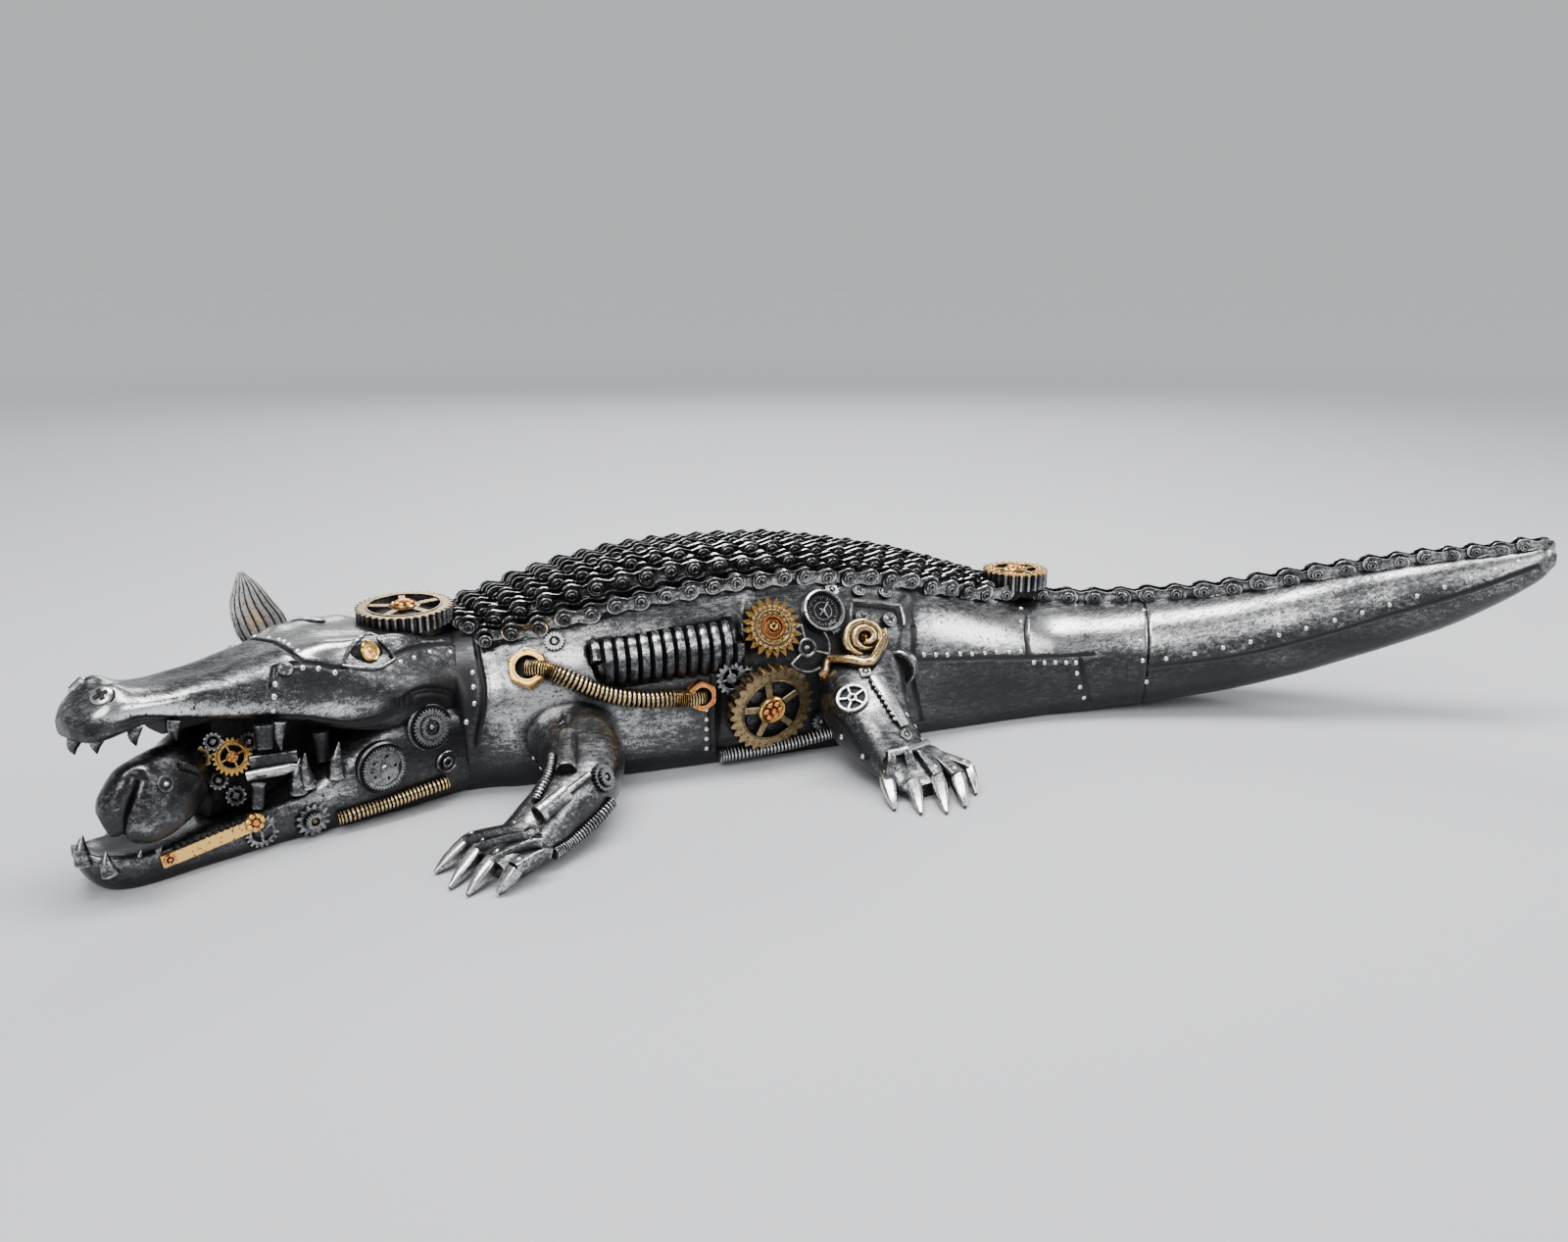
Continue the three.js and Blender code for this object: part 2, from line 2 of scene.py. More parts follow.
# The object is a crocodile cast in resin and painted as antique silver, with chains, wheels, hoses and
# a fish in its jaws. The imported CAD model comes in first, because every piece below is placed on it.

# %% The CAD frame
import math
import bpy
import bmesh
from mathutils import Matrix, Vector, noise
from mathutils.bvhtree import BVHTree
from mathutils.kdtree import KDTree
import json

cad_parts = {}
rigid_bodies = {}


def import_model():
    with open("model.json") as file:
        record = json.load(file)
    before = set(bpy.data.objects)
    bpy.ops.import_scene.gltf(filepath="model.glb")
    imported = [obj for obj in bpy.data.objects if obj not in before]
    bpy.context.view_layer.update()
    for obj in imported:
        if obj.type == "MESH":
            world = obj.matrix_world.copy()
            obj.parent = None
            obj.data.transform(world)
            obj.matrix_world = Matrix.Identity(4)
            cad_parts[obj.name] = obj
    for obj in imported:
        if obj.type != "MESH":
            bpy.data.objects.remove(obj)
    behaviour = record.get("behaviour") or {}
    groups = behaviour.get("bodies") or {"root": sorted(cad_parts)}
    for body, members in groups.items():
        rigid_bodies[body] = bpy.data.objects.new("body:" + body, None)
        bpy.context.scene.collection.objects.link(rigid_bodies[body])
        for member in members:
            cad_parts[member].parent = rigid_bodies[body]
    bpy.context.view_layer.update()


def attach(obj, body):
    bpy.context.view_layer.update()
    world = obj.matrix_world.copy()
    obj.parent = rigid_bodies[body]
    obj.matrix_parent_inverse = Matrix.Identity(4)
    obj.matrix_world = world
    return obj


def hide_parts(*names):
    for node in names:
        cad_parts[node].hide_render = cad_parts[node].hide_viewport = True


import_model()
MM = 0.001  # the pieces are modelled in millimetres and brought to metres when they are done

# %% [markdown]
# The camera stands where the photographer stood, beside the figure and a little above it. Later on it
# serves as a pointer too: a ray through a spot of the picture lands on the skin of the model, and that
# is where a rivet or a wheel goes.

# %% Camera
PICTURE = (1600, 1267)
LENS, SENSOR = 27, 36
FOCAL = PICTURE[0] * LENS / SENSOR  # the same focal length in picture points
EYE = Vector((-182, -455.9, 182))
STOOP = math.radians(16)
TURN = math.radians(19.6)
lens = bpy.data.cameras.new("camera")
lens.lens = LENS
lens.sensor_width = SENSOR
camera = bpy.data.objects.new("camera", lens)
camera.location = EYE * MM
camera.rotation_euler = (math.pi / 2 - STOOP, 0, -TURN)
bpy.context.scene.collection.objects.link(camera)
bpy.context.scene.camera = camera
LOOK = Vector((math.sin(TURN) * math.cos(STOOP), math.cos(TURN) * math.cos(STOOP), -math.sin(STOOP)))
RIGHT = Vector((math.cos(TURN), -math.sin(TURN), 0))
LIFT = RIGHT.cross(LOOK)


def sight(px, py):
    """the direction from the camera through a point of the picture"""
    right = (px - PICTURE[0] / 2) / FOCAL
    down = (py - PICTURE[1] / 2) / FOCAL
    return (LOOK + RIGHT * right - LIFT * down).normalized()


print("the camera looks along", [round(c, 2) for c in LOOK])

# %% [markdown]
# A cast silver figure shows its form by what it mirrors. A wide soft light overhead draws the bright
# lines along the back and the tail, a thin one behind picks out the far edge, and one beside the tail
# puts the gleam on the rump. A very soft sun fills the face and the wheels from the front, and lights
# the floor evenly.

# %% Studio lights
def hang(lamp, power, place, target):
    """puts a lamp at a place, in metres, and lets it look at a point"""
    lamp.energy = power
    holder = bpy.data.objects.new(lamp.name, lamp)
    holder.location = place
    holder.rotation_euler = (Vector(target) - Vector(place)).to_track_quat("-Z", "Y").to_euler()
    bpy.context.scene.collection.objects.link(holder)


def studio_light(name, place, target, size, power):
    """a soft square light"""
    lamp = bpy.data.lights.new(name, "AREA")
    lamp.shape = "RECTANGLE"
    lamp.size, lamp.size_y = size
    hang(lamp, power, place, target)


studio_light("overhead", (0.0, 0.05, 1.0), (0.0, 0.0, 0.0), (1.2, 0.35), 17)
studio_light("behind", (0.35, 1.2, 0.75), (0.0, 0.0, 0.05), (1.2, 0.3), 9)
studio_light("beside", (0.85, -0.47, 0.65), (0.05, -0.04, 0.04), (0.6, 0.5), 4.2)
sun = bpy.data.lights.new("front", "SUN")
sun.angle = math.radians(40)
hang(sun, 1.5, (0, 0, 0), (0.5, 1, -1.15))
print("lights:", len(bpy.data.lights))

# %% [markdown]
# The room is a gradient, pale low down and darker above, so that the silver has something dark to mirror.
# The floor is one large square. It belongs to the stage, not to the figure.

# %% Room and floor
LOW_WALL, HIGH_WALL = (0.55, 0.56, 0.575, 1), (0.20, 0.205, 0.22, 1)
world = bpy.data.worlds.new("room")
world.use_nodes = True
room = world.node_tree
direction = room.nodes.new("ShaderNodeTexCoord")
height = room.nodes.new("ShaderNodeSeparateXYZ")
rise = room.nodes.new("ShaderNodeMapRange")
rise.interpolation_type = "SMOOTHSTEP"
rise.inputs["From Min"].default_value = 0.2
rise.inputs["From Max"].default_value = 0.7
tones = room.nodes.new("ShaderNodeMix")
tones.data_type = "RGBA"
tones.inputs[6].default_value = LOW_WALL
tones.inputs[7].default_value = HIGH_WALL
room.links.new(direction.outputs["Generated"], height.inputs[0])
room.links.new(height.outputs["Z"], rise.inputs["Value"])
room.links.new(rise.outputs[0], tones.inputs[0])
room.links.new(tones.outputs[2], room.nodes["Background"].inputs["Color"])
bpy.context.scene.world = world
floor_shape = bmesh.new()
bmesh.ops.create_grid(floor_shape, x_segments=1, y_segments=1, size=30)
floor_mesh = bpy.data.meshes.new("floor")
floor_shape.to_mesh(floor_mesh)
floor_shape.free()
floor = bpy.data.objects.new("floor", floor_mesh)
bpy.context.scene.collection.objects.link(floor)
print("room and floor are ready")

# %% [markdown]
# Shader maths reads best as plain formulas. The small class below wraps the output of a node, so that
# an expression such as (1 - worn) * 0.4 adds its Math nodes by itself. Every other node comes from the
# one method of Finish.

# %% Shader helpers
class Wire:
    """one number or colour on its way through a finish"""

    def __init__(self, finish, socket):
        self.finish = finish
        self.socket = socket

    def sum(self, operation, first, second):
        """a Math node between two wires or numbers"""
        return self.finish.node("Math", {"operation": operation}, {0: first, 1: second})

    def __add__(self, other):
        return self.sum("ADD", self, other)

    __radd__ = __add__

    def __sub__(self, other):
        return self.sum("SUBTRACT", self, other)

    def __rsub__(self, other):
        return self.sum("SUBTRACT", other, self)

    def __mul__(self, other):
        return self.sum("MULTIPLY", self, other)

    def held(self):
        """the same number, kept between 0 and 1"""
        return self.finish.node("Clamp", {}, {0: self})


class Finish:
    """a paint finish: a material and the nodes that lead to its shader"""

    def __init__(self, name):
        self.material = bpy.data.materials.new(name)
        self.material.use_nodes = True
        self.tree = self.material.node_tree
        self.shader = self.tree.nodes["Principled BSDF"]
        self.place = self.node("TexCoord", out="Object")

    def node(self, kind, settings=None, sockets=None, out=0):
        """adds a node with its settings, then leads values or wires to its sockets"""
        made = self.tree.nodes.new("ShaderNode" + kind)
        for key, value in (settings or {}).items():
            setattr(made, key, value)
        for key, value in (sockets or {}).items():
            self.lead(value, made.inputs[key])
        return Wire(self, made.outputs[out])

    def lead(self, value, socket):
        """joins a wire to a socket, or sets a plain value there"""
        if isinstance(value, Wire):
            self.tree.links.new(value.socket, socket)
        else:
            socket.default_value = value

    def grain(self, scale, detail, rough=0.5, stretch=(1, 1, 1)):
        """noise between 0 and 1, with features about 1 / scale across"""
        spread = self.node("Mapping", {}, {"Vector": self.place, "Scale": stretch})
        sockets = {"Vector": spread, "Scale": scale, "Detail": detail, "Roughness": rough}
        return self.node("TexNoise", {}, sockets)

    def above(self, value, low, high):
        """0 under low, 1 over high and smooth between"""
        settings = {"interpolation_type": "SMOOTHSTEP"}
        return self.node("MapRange", settings, {"Value": value, "From Min": low, "From Max": high})

    def blend(self, share, first, second):
        """one colour where share is 0, the other where it is 1"""
        settings = {"data_type": "RGBA"}
        return self.node("Mix", settings, {0: share, 6: first, 7: second}, out=2)

    def hollow(self, reach):
        """1 in the open, towards 0 in a recess narrower than reach, in metres"""
        return self.node("AmbientOcclusion", {"samples": 6}, {"Distance": reach}, out="AO")

    def wear(self):
        """how far an edge stands out: 0.5 on a flat, more on a ridge"""
        return self.node("NewGeometry", out="Pointiness")

    def facing_up(self):
        """1 where the surface looks up, -1 where it looks down"""
        up = self.node("NewGeometry", out="Normal")
        return self.node("SeparateXYZ", {}, {0: up}, out="Z")


print("Wire and Finish are ready")

# %% [markdown]
# The real figure is cast in one black resin and then dry-brushed: brushing leaves bright paint on
# whatever stands proud and none in the hollows. The finish does the same. It starts from a rubbed and
# scratched pattern, adds paint on ridges, adds painted light where the surface looks up and painted shade
# where it looks down, adds the painted highlights and painted shade noted on each skin, takes paint away
# in the hollows, and the share that is left blends the black resin into the metal colour.

# %% Rubbed metal finishes
BLACK = (0.010, 0.010, 0.012, 1)


def rubbed(name, bright, shade, cover, gloss=0.26, hollow_reach=0.004, streak=(0.6, 1, 1), fine=1.0):
    """black resin with metal paint rubbed over it; cover is how much paint lies on an open flat"""
    finish = Finish(name)
    blotch = finish.grain(70 * fine, 3, 0.5, streak)
    scratch = finish.grain(700 * fine, 3, 0.65, streak)
    speck = finish.grain(2000 * fine, 2, 0.7)
    pits = finish.above(finish.grain(900 * fine, 2, 0.55), 0.30, 0.40)
    # painted highlights and painted shade noted on the skin, with the seams darker
    brushed = finish.node("Attribute", {"attribute_name": "brushed"}, out="Fac")
    open_air = finish.above(finish.hollow(hollow_reach), 0.30, 0.90)
    edge = finish.wear()
    ridge = finish.above(edge, 0.515, 0.62)
    dent = finish.above(edge, 0.40, 0.485)
    # painted light on faces that look up and painted shade on faces that look down
    up = finish.above(finish.facing_up(), -0.8, 0.8)
    paint = cover + (blotch - 0.5) * 0.6 + (scratch - 0.5) * 0.9 + (speck - 0.5) * 0.8 + (up - 0.5) * 0.45
    paint = (paint + ridge * 0.4 + brushed).held() * open_air * (0.15 + dent * 0.85) * (0.35 + pits * 0.65)
    middle = finish.blend(finish.above(paint, 0.03, 0.38), BLACK, shade)
    colour = finish.blend(finish.above(paint, 0.38, 1.0), middle, bright)
    finish.lead(colour, finish.shader.inputs["Base Color"])
    finish.lead(0.4 + finish.above(paint, 0.03, 0.35) * 0.6, finish.shader.inputs["Metallic"])
    finish.lead(gloss + 0.22 - paint * 0.2 + (scratch - 0.5) * 0.16, finish.shader.inputs["Roughness"])
    relief = {"Strength": 0.25, "Distance": 0.0002, "Height": (speck - 0.5) * 0.5 + scratch}
    finish.lead(finish.node("Bump", {}, relief), finish.shader.inputs["Normal"])
    return finish.material


silver = rubbed("antique_silver", (0.78, 0.785, 0.79, 1), (0.068, 0.069, 0.072, 1), 0.39, 0.18,
                streak=(0.35, 1, 1))
bright_silver = rubbed("bright_silver", (0.86, 0.86, 0.86, 1), (0.19, 0.19, 0.195, 1), 0.70, 0.2)
chain_silver = rubbed("chain_silver", (0.90, 0.90, 0.90, 1), (0.055, 0.056, 0.058, 1), 0.57, 0.12)
# the fin's pale paint, made paler still as a painted highlight
fin_silver = rubbed("fin_silver", (0.95, 0.95, 0.95, 1), (0.30, 0.30, 0.305, 1), 0.85, 0.30,
                    hollow_reach=0.0012)
spring_steel = rubbed("spring_steel", (0.62, 0.625, 0.635, 1), (0.05, 0.051, 0.054, 1), 0.22, 0.10)
dark_steel = rubbed("dark_steel", (0.46, 0.465, 0.475, 1), (0.045, 0.046, 0.049, 1), 0.36)
dark_plate = rubbed("dark_plate", (0.19, 0.192, 0.20, 1), (0.030, 0.031, 0.033, 1), 0.36, gloss=0.32)
soot = rubbed("sooted_recess", (0.06, 0.06, 0.063, 1), (0.016, 0.016, 0.017, 1), 0.25, gloss=0.5)
gold = rubbed("antique_gold", (0.93, 0.56, 0.17, 1), (0.26, 0.12, 0.026, 1), 0.72, gloss=0.16)
old_gold = rubbed("old_gold", (0.34, 0.25, 0.13, 1), (0.06, 0.042, 0.022, 1), 0.50, gloss=0.24)
brass = rubbed("pale_brass", (0.90, 0.66, 0.34, 1), (0.15, 0.095, 0.045, 1), 0.66, gloss=0.16)
copper = rubbed("rubbed_copper", (0.88, 0.36, 0.12, 1), (0.28, 0.085, 0.024, 1), 0.70, gloss=0.18)
fish_steel = rubbed("fish_steel", (0.38, 0.38, 0.395, 1), (0.045, 0.045, 0.048, 1), 0.33, gloss=0.14,
                    fine=0.8)
print("metal finishes:", len([material for material in bpy.data.materials if material.use_nodes]))

# %% [markdown]
# The floor is a pale painted board. The lamps stand close, so their light fades a few paces away. There
# the paint grows paler and glows a little, and the floor runs into the room without a visible edge.

# %% Pale floor finish
pale = Finish("pale_floor")
NEAR_PAINT, NEAR_FLECK = (0.60, 0.61, 0.63, 1), (0.63, 0.64, 0.66, 1)
FAR_PAINT, FAR_GLOW = (0.84, 0.85, 0.86, 1), (0.055, 0.056, 0.058, 1)
fleck = pale.grain(3, 3)
away = pale.node("VectorMath", {"operation": "LENGTH"}, {0: pale.place}, out="Value")
near_paint = pale.blend(fleck, NEAR_PAINT, NEAR_FLECK)
pale.lead(pale.blend(pale.above(away, 0.7, 3.0), near_paint, FAR_PAINT), pale.shader.inputs["Base Color"])
pale.lead(pale.blend(pale.above(away, 0.9, 3.2), BLACK, FAR_GLOW), pale.shader.inputs["Emission Color"])
pale.shader.inputs["Emission Strength"].default_value = 1.0
pale.lead(0.55 + fleck * 0.1, pale.shader.inputs["Roughness"])
floor_mesh.materials.append(pale.material)
print("the floor is painted")

# %% [markdown]
# Every piece is a bmesh in millimetres. One helper brings it to metres, marks its sharp edges, gives it
# its finish and lets it ride on the one body. Another one keeps a finished shape as a stamp, because
# rivets, links and teeth come by the hundred.

# %% Making and stamping pieces
ROOT = "root"


def piece(name, shape, finish, sharp, node="crocodile"):
    """turns a bmesh in millimetres into a finished piece that stands for a CAD node"""
    bmesh.ops.scale(shape, vec=(MM, MM, MM), verts=shape.verts)
    for face in shape.faces:
        face.smooth = True
    mesh = bpy.data.meshes.new(name)
    shape.to_mesh(mesh)
    shape.free()
    mesh.set_sharp_from_angle(angle=math.radians(sharp))
    mesh.materials.append(finish)
    made = bpy.data.objects.new(name, mesh)
    bpy.context.scene.collection.objects.link(made)
    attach(made, ROOT)
    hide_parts(node)
    print(name, "with", len(mesh.polygons), "faces")


def stamp_of(shape):
    """keeps a bmesh as a mesh that can be stamped again and again"""
    mesh = bpy.data.meshes.new("stamp")
    shape.to_mesh(mesh)
    shape.free()
    return mesh


def stamp(target, shape, place):
    """a copy of a kept shape, added to a bmesh at a place"""
    copy = shape.copy()
    copy.transform(place)
    target.from_mesh(copy)
    bpy.data.meshes.remove(copy)


def standing(at, up, forward=Vector((1, 0, 0))):
    """a place whose Z stands along up and whose X looks forward"""
    z = Vector(up).normalized()
    y = z.cross(forward).normalized()
    return Matrix.Translation(at) @ Matrix((y.cross(z), y, z)).transposed().to_4x4()


# %% [markdown]
# The small hard parts come from three moves. A turned shape is a half outline spun round an axis, as on a
# lathe: hubs, rims and rivets. A toothed ring is two circles bridged and extruded. A block is a bevelled
# cube. Measures can be read off the picture for all three, and their edges stay clean in a close view.

# %% Turned shapes, toothed rings and blocks
def turned(outline, steps=24, closed=False):
    """a half outline of (radius, height) points, spun round the Z axis"""
    shape = bmesh.new()
    points = [shape.verts.new((radius, 0, height)) for radius, height in outline]
    lines = [shape.edges.new(pair) for pair in zip(points, points[1:])]
    if closed:
        lines.append(shape.edges.new((points[-1], points[0])))
    middle = {"cent": (0, 0, 0), "axis": (0, 0, 1), "angle": 2 * math.pi}
    bmesh.ops.spin(shape, geom=points + lines, steps=steps, use_merge=True, **middle)
    bmesh.ops.remove_doubles(shape, verts=shape.verts, dist=0.0005)
    bmesh.ops.recalc_face_normals(shape, faces=shape.faces)
    return shape


def rim(radius, width, height, low=0.0, steps=32):
    """a flat ring with softened upper edges"""
    soft = min(width, height) * 0.25
    inner, outer, top = radius - width, radius, low + height
    outline = [(inner, low), (outer, low), (outer, top - soft), (outer - soft, top)]
    outline += [(inner + soft, top), (inner, top - soft)]
    return turned(outline, steps, closed=True)


def disc(radius, low, high, steps=24):
    """a plain round plate"""
    return turned(((0, low), (radius, low), (radius, high), (0, high)), steps)


def knob(radius, height, steps=10, low=0.0):
    """a round head, flat underneath"""
    outline = [(0, low), (radius, low), (radius * 0.95, low + height * 0.45)]
    outline += [(radius * 0.62, low + height * 0.86), (0, low + height)]
    return turned(outline, steps)


def extruded(shape, way):
    """thickens a flat shape along a vector"""
    grown = bmesh.ops.extrude_face_region(shape, geom=shape.faces[:], use_keep_orig=True)["geom"]
    moved = [part for part in grown if isinstance(part, bmesh.types.BMVert)]
    bmesh.ops.translate(shape, vec=way, verts=moved)


def toothed_ring(teeth, tip, root, bore, low, high, pointed=False):
    """a wheel rim with its teeth, standing from low to high"""
    shape = bmesh.new()
    count = teeth * 4
    outer = bmesh.ops.create_circle(shape, segments=count, radius=1)["verts"]
    for vert in outer:
        step = round(math.atan2(vert.co.y, vert.co.x) / (2 * math.pi) * count) % 4
        rise = (1, 0.5, 0, 0.5)[step] if pointed else (1, 1, 0, 0)[step]
        vert.co *= root + (tip - root) * rise
    bmesh.ops.create_circle(shape, segments=count, radius=bore)
    bmesh.ops.bridge_loops(shape, edges=shape.edges[:])
    extruded(shape, (0, 0, high - low))
    bmesh.ops.translate(shape, vec=(0, 0, low), verts=shape.verts)
    bmesh.ops.recalc_face_normals(shape, faces=shape.faces)
    return shape


def block(size, soft=0.3, place=Matrix.Identity(4)):
    """a box with softened edges"""
    shape = bmesh.new()
    bmesh.ops.create_cube(shape, size=1)
    bmesh.ops.scale(shape, vec=size, verts=shape.verts)
    edges = shape.edges[:]
    bmesh.ops.bevel(shape, geom=edges, offset=soft, affect="EDGES", segments=1, profile=0.5, material=-1)
    bmesh.ops.transform(shape, matrix=place, verts=shape.verts)
    return shape


print("turned shapes, toothed rings and blocks are ready")

# %% [markdown]
# Skin, hoses, claws and teeth are sheets. A sheet is a grid whose points are laid out by a rule, with its
# seam welded and its ends closed. A hose is a sheet wrapped round a smooth line. Its rings belong to the
# rule for its radius, so they are real relief and not only a pattern.

# %% Sheets and hoses
def sheet(across, along, lay):
    """a grid laid out by lay(u, v): u runs round, v runs from end to end"""
    shape = bmesh.new()
    bmesh.ops.create_grid(shape, x_segments=across, y_segments=along, size=0.5)
    for vert in shape.verts:
        vert.co = lay(vert.co.x + 0.5, vert.co.y + 0.5)
    bmesh.ops.remove_doubles(shape, verts=shape.verts, dist=0.001)
    open_edges = [edge for edge in shape.edges if edge.is_boundary]
    bmesh.ops.holes_fill(shape, edges=open_edges, sides=0)
    bmesh.ops.recalc_face_normals(shape, faces=shape.faces)
    return shape


def smooth_line(points, share):
    """a point of the smooth line through the points, share from 0 to 1 (Catmull-Rom)"""
    last = len(points) - 1
    t = min(max(share, 0), 1) * last
    i = min(int(t), last - 1)
    t -= i
    a, b = points[max(i - 1, 0)], points[i]
    c, d = points[i + 1], points[min(i + 2, last)]
    start = (2 * b) + (c - a) * t + (2 * a - 5 * b + 4 * c - d) * t * t
    return 0.5 * (start + (3 * b - a - 3 * c + d) * t**3)


def rule_of(radius):
    """a radius as a rule of the share along a tube"""
    return radius if callable(radius) else (lambda share: radius)


def hose(points, radius, sides=12, rings=60, lift=Vector((0, 0, 1))):
    """a tube along a smooth line; radius is a number or a rule of the share along it"""
    size = rule_of(radius)
    stations = []
    for i in range(rings + 1):
        share = i / rings
        forward = smooth_line(points, min(share + 0.01, 1)) - smooth_line(points, max(share - 0.01, 0))
        side = forward.cross(lift).normalized()
        up = side.cross(forward).normalized()
        stations.append((smooth_line(points, share), side, up, size(share)))

    def lay(u, v):
        middle, side, up, r = stations[round(v * rings)]
        turn = u * 2 * math.pi
        return middle + side * (r * math.cos(turn)) + up * (r * math.sin(turn))

    return sheet(sides, rings, lay)


def ribbed(points, radius, ribs, sides=12, groove=0.2):
    """a hose of rings, as on a shower hose"""
    width = rule_of(radius)

    def size(share):
        between = (1 - abs(math.sin(math.pi * ribs * share))) ** 1.5
        return width(share) * (1 - groove * between)

    return hose(points, size, sides, ribs * 4)


def add(target, shape, place=Matrix.Identity(4)):
    """one bmesh poured into another at a place"""
    kept = stamp_of(shape)
    stamp(target, kept, place)
    bpy.data.meshes.remove(kept)


print("sheets and hoses are ready")

# %% [markdown]
# The body is one long loft. Its centre line, and the half width, top, widest height and underside along
# it, are read from two small tables with smooth steps in between, and every cross-section is a soft
# rounded box. The same tables made the CAD solid, so the skin lies where the solid is.

# %% The body's measures
UP = Vector((0, 0, 1))
# along the body, then across it
PLAN = ((-190, -17), (-170, -8.5), (-150, -2), (-130, -0.2), (-100, 0), (0, 0), (40, 0), (60, -1),
        (80, -4.5), (100, -10), (125, -21), (150, -34), (200, -60), (250, -86), (288, -107))
# along the body, then half width, top, height of the widest place and underside
TRUNK = ((-170, 34, 55, 24, -6), (-158, 39, 57, 24, -7), (-146, 42, 60, 24, -8),
         (-134, 43.5, 64.5, 24, -8), (-118, 45, 69.5, 23, -8), (-98, 46, 74, 22, -8),
         (-76, 46.5, 77, 22, -8), (-50, 46.5, 77.5, 22, -8), (-26, 46.5, 76.5, 22, -8),
         (-8, 46.5, 73.5, 22, -8), (8, 46, 70.5, 22, -8), (26, 45, 66.5, 22, -8), (44, 44, 61, 21, -8),
         (60, 42.5, 55.5, 20, -8), (76, 40.5, 50, 19.5, -8), (92, 38, 46, 18.5, -7),
         (108, 35.5, 44.5, 18, -6), (124, 32.5, 44.5, 18, -4), (140, 29.5, 46, 19.5, -1),
         (158, 26.5, 48, 23, 3), (178, 23.5, 51.5, 27.5, 8), (198, 20.5, 56.5, 33, 14.5),
         (218, 17.8, 61.5, 39.5, 22.5), (238, 15.2, 66, 46.5, 31), (256, 12.4, 69.5, 53.5, 40),
         (270, 9.6, 72, 60, 49), (279, 7.4, 74, 65, 56), (285, 5.2, 75.5, 69, 61.5),
         (288, 2.4, 74, 70, 66))


def read(rows, t):
    """the row of a table at t, with smooth steps between its rows"""
    i = 0
    while i < len(rows) - 2 and rows[i + 1][0] <= t:
        i += 1
    a, b = rows[i], rows[i + 1]
    before, after = rows[max(i - 1, 0)], rows[min(i + 2, len(rows) - 1)]
    span = b[0] - a[0]
    u = min(max((t - a[0]) / span, 0), 1)
    ease = u * u * (3 - 2 * u)
    row = []
    for j in range(len(a)):
        start = (b[j] - before[j]) / (b[0] - before[0])
        stop = (after[j] - a[j]) / (after[0] - a[0])
        swing = start * u * (1 - u) ** 2 - stop * u * u * (1 - u)
        row.append(a[j] * (1 - ease) + b[j] * ease + span * swing)
    return row


print("sections in the table of the body:", len(TRUNK))

# %% [markdown]
# Points come from the tables: plan gives the centre line, rounded gives a cross-section, and trunk_at puts
# the section on the line. The chains also need the place at a distance round the back from its ridge.

# %% Points on the body
known_plans = {}


def plan(x):
    """a point of the centre line, its direction, and the level direction to the camera's side"""
    if x not in known_plans:
        slope = read(PLAN, x + 0.5)[1] - read(PLAN, x - 0.5)[1]
        along = Vector((1, slope, 0)).normalized()
        known_plans[x] = (Vector((x, read(PLAN, x)[1], 0)), along, Vector((along.y, -along.x, 0)))
    return known_plans[x]


def rounded(turn, half_width, top, widest, bottom, upper, lower):
    """a point of a rounded cross-section: turn is 0 at the top and grows down the near side"""
    power = 2 / (upper if math.cos(turn) >= 0 else lower)
    across = half_width * math.copysign(abs(math.sin(turn)) ** power, math.sin(turn))
    reach = top - widest if math.cos(turn) >= 0 else widest - bottom
    return across, widest + reach * math.copysign(abs(math.cos(turn)) ** power, math.cos(turn))


known_rows = {}


def trunk_at(x, turn):
    """a point of the bare body"""
    if x not in known_rows:
        past_hips = x - 60
        upper = min(max(2.25 - past_hips / 600, 1.9), 2.25)
        lower = min(max(3.2 - past_hips / 70, 2.2), 3.2)
        known_rows[x] = read(TRUNK, x)[1:] + [upper, lower]
    across, height = rounded(turn, *known_rows[x])
    middle, _, near = plan(x)
    spot_at = middle + near * across
    spot_at.z = height
    return spot_at


def trunk_normal(x, turn):
    """the way out of the bare body at one of its points"""
    lengthwise = trunk_at(x + 1, turn) - trunk_at(x - 1, turn)
    round_it = trunk_at(x, turn + 0.02) - trunk_at(x, turn - 0.02)
    out = round_it.cross(lengthwise).normalized()
    away = trunk_at(x, turn) - plan(x)[0] - UP * known_rows[x][2]
    return out if out.dot(away) > 0 else -out


def arc_to_turn(x, arc):
    """the turn at a distance round the back from the ridge"""
    turn, gone, last = 0.0, 0.0, trunk_at(x, 0.0)
    side = math.copysign(1, arc)
    while gone < abs(arc) and abs(turn) < 2:
        turn += side * 0.02
        now = trunk_at(x, turn)
        gone += (now - last).length
        last = now
    return turn


def on_back(x, arc):
    """the point so far round the back from the ridge, and its normal"""
    turn = arc_to_turn(x, arc)
    return trunk_at(x, turn), trunk_normal(x, turn)


print("back height at mid body:", round(trunk_at(-50, 0).z, 1), "mm")

# %% [markdown]
# The head turns to the figure's left, so it has a direction of its own, and its tables run along that
# direction: how far along, how far to the near side, how high. Skull and lower jaw are two lofts.

# %% The head's measures
HEAD_FROM = Vector((-187, -15.6, 0))
HEAD_ALONG = Vector((-0.8395, -0.5431, 0))
HEAD_NEAR = Vector((0.5431, -0.8395, 0))
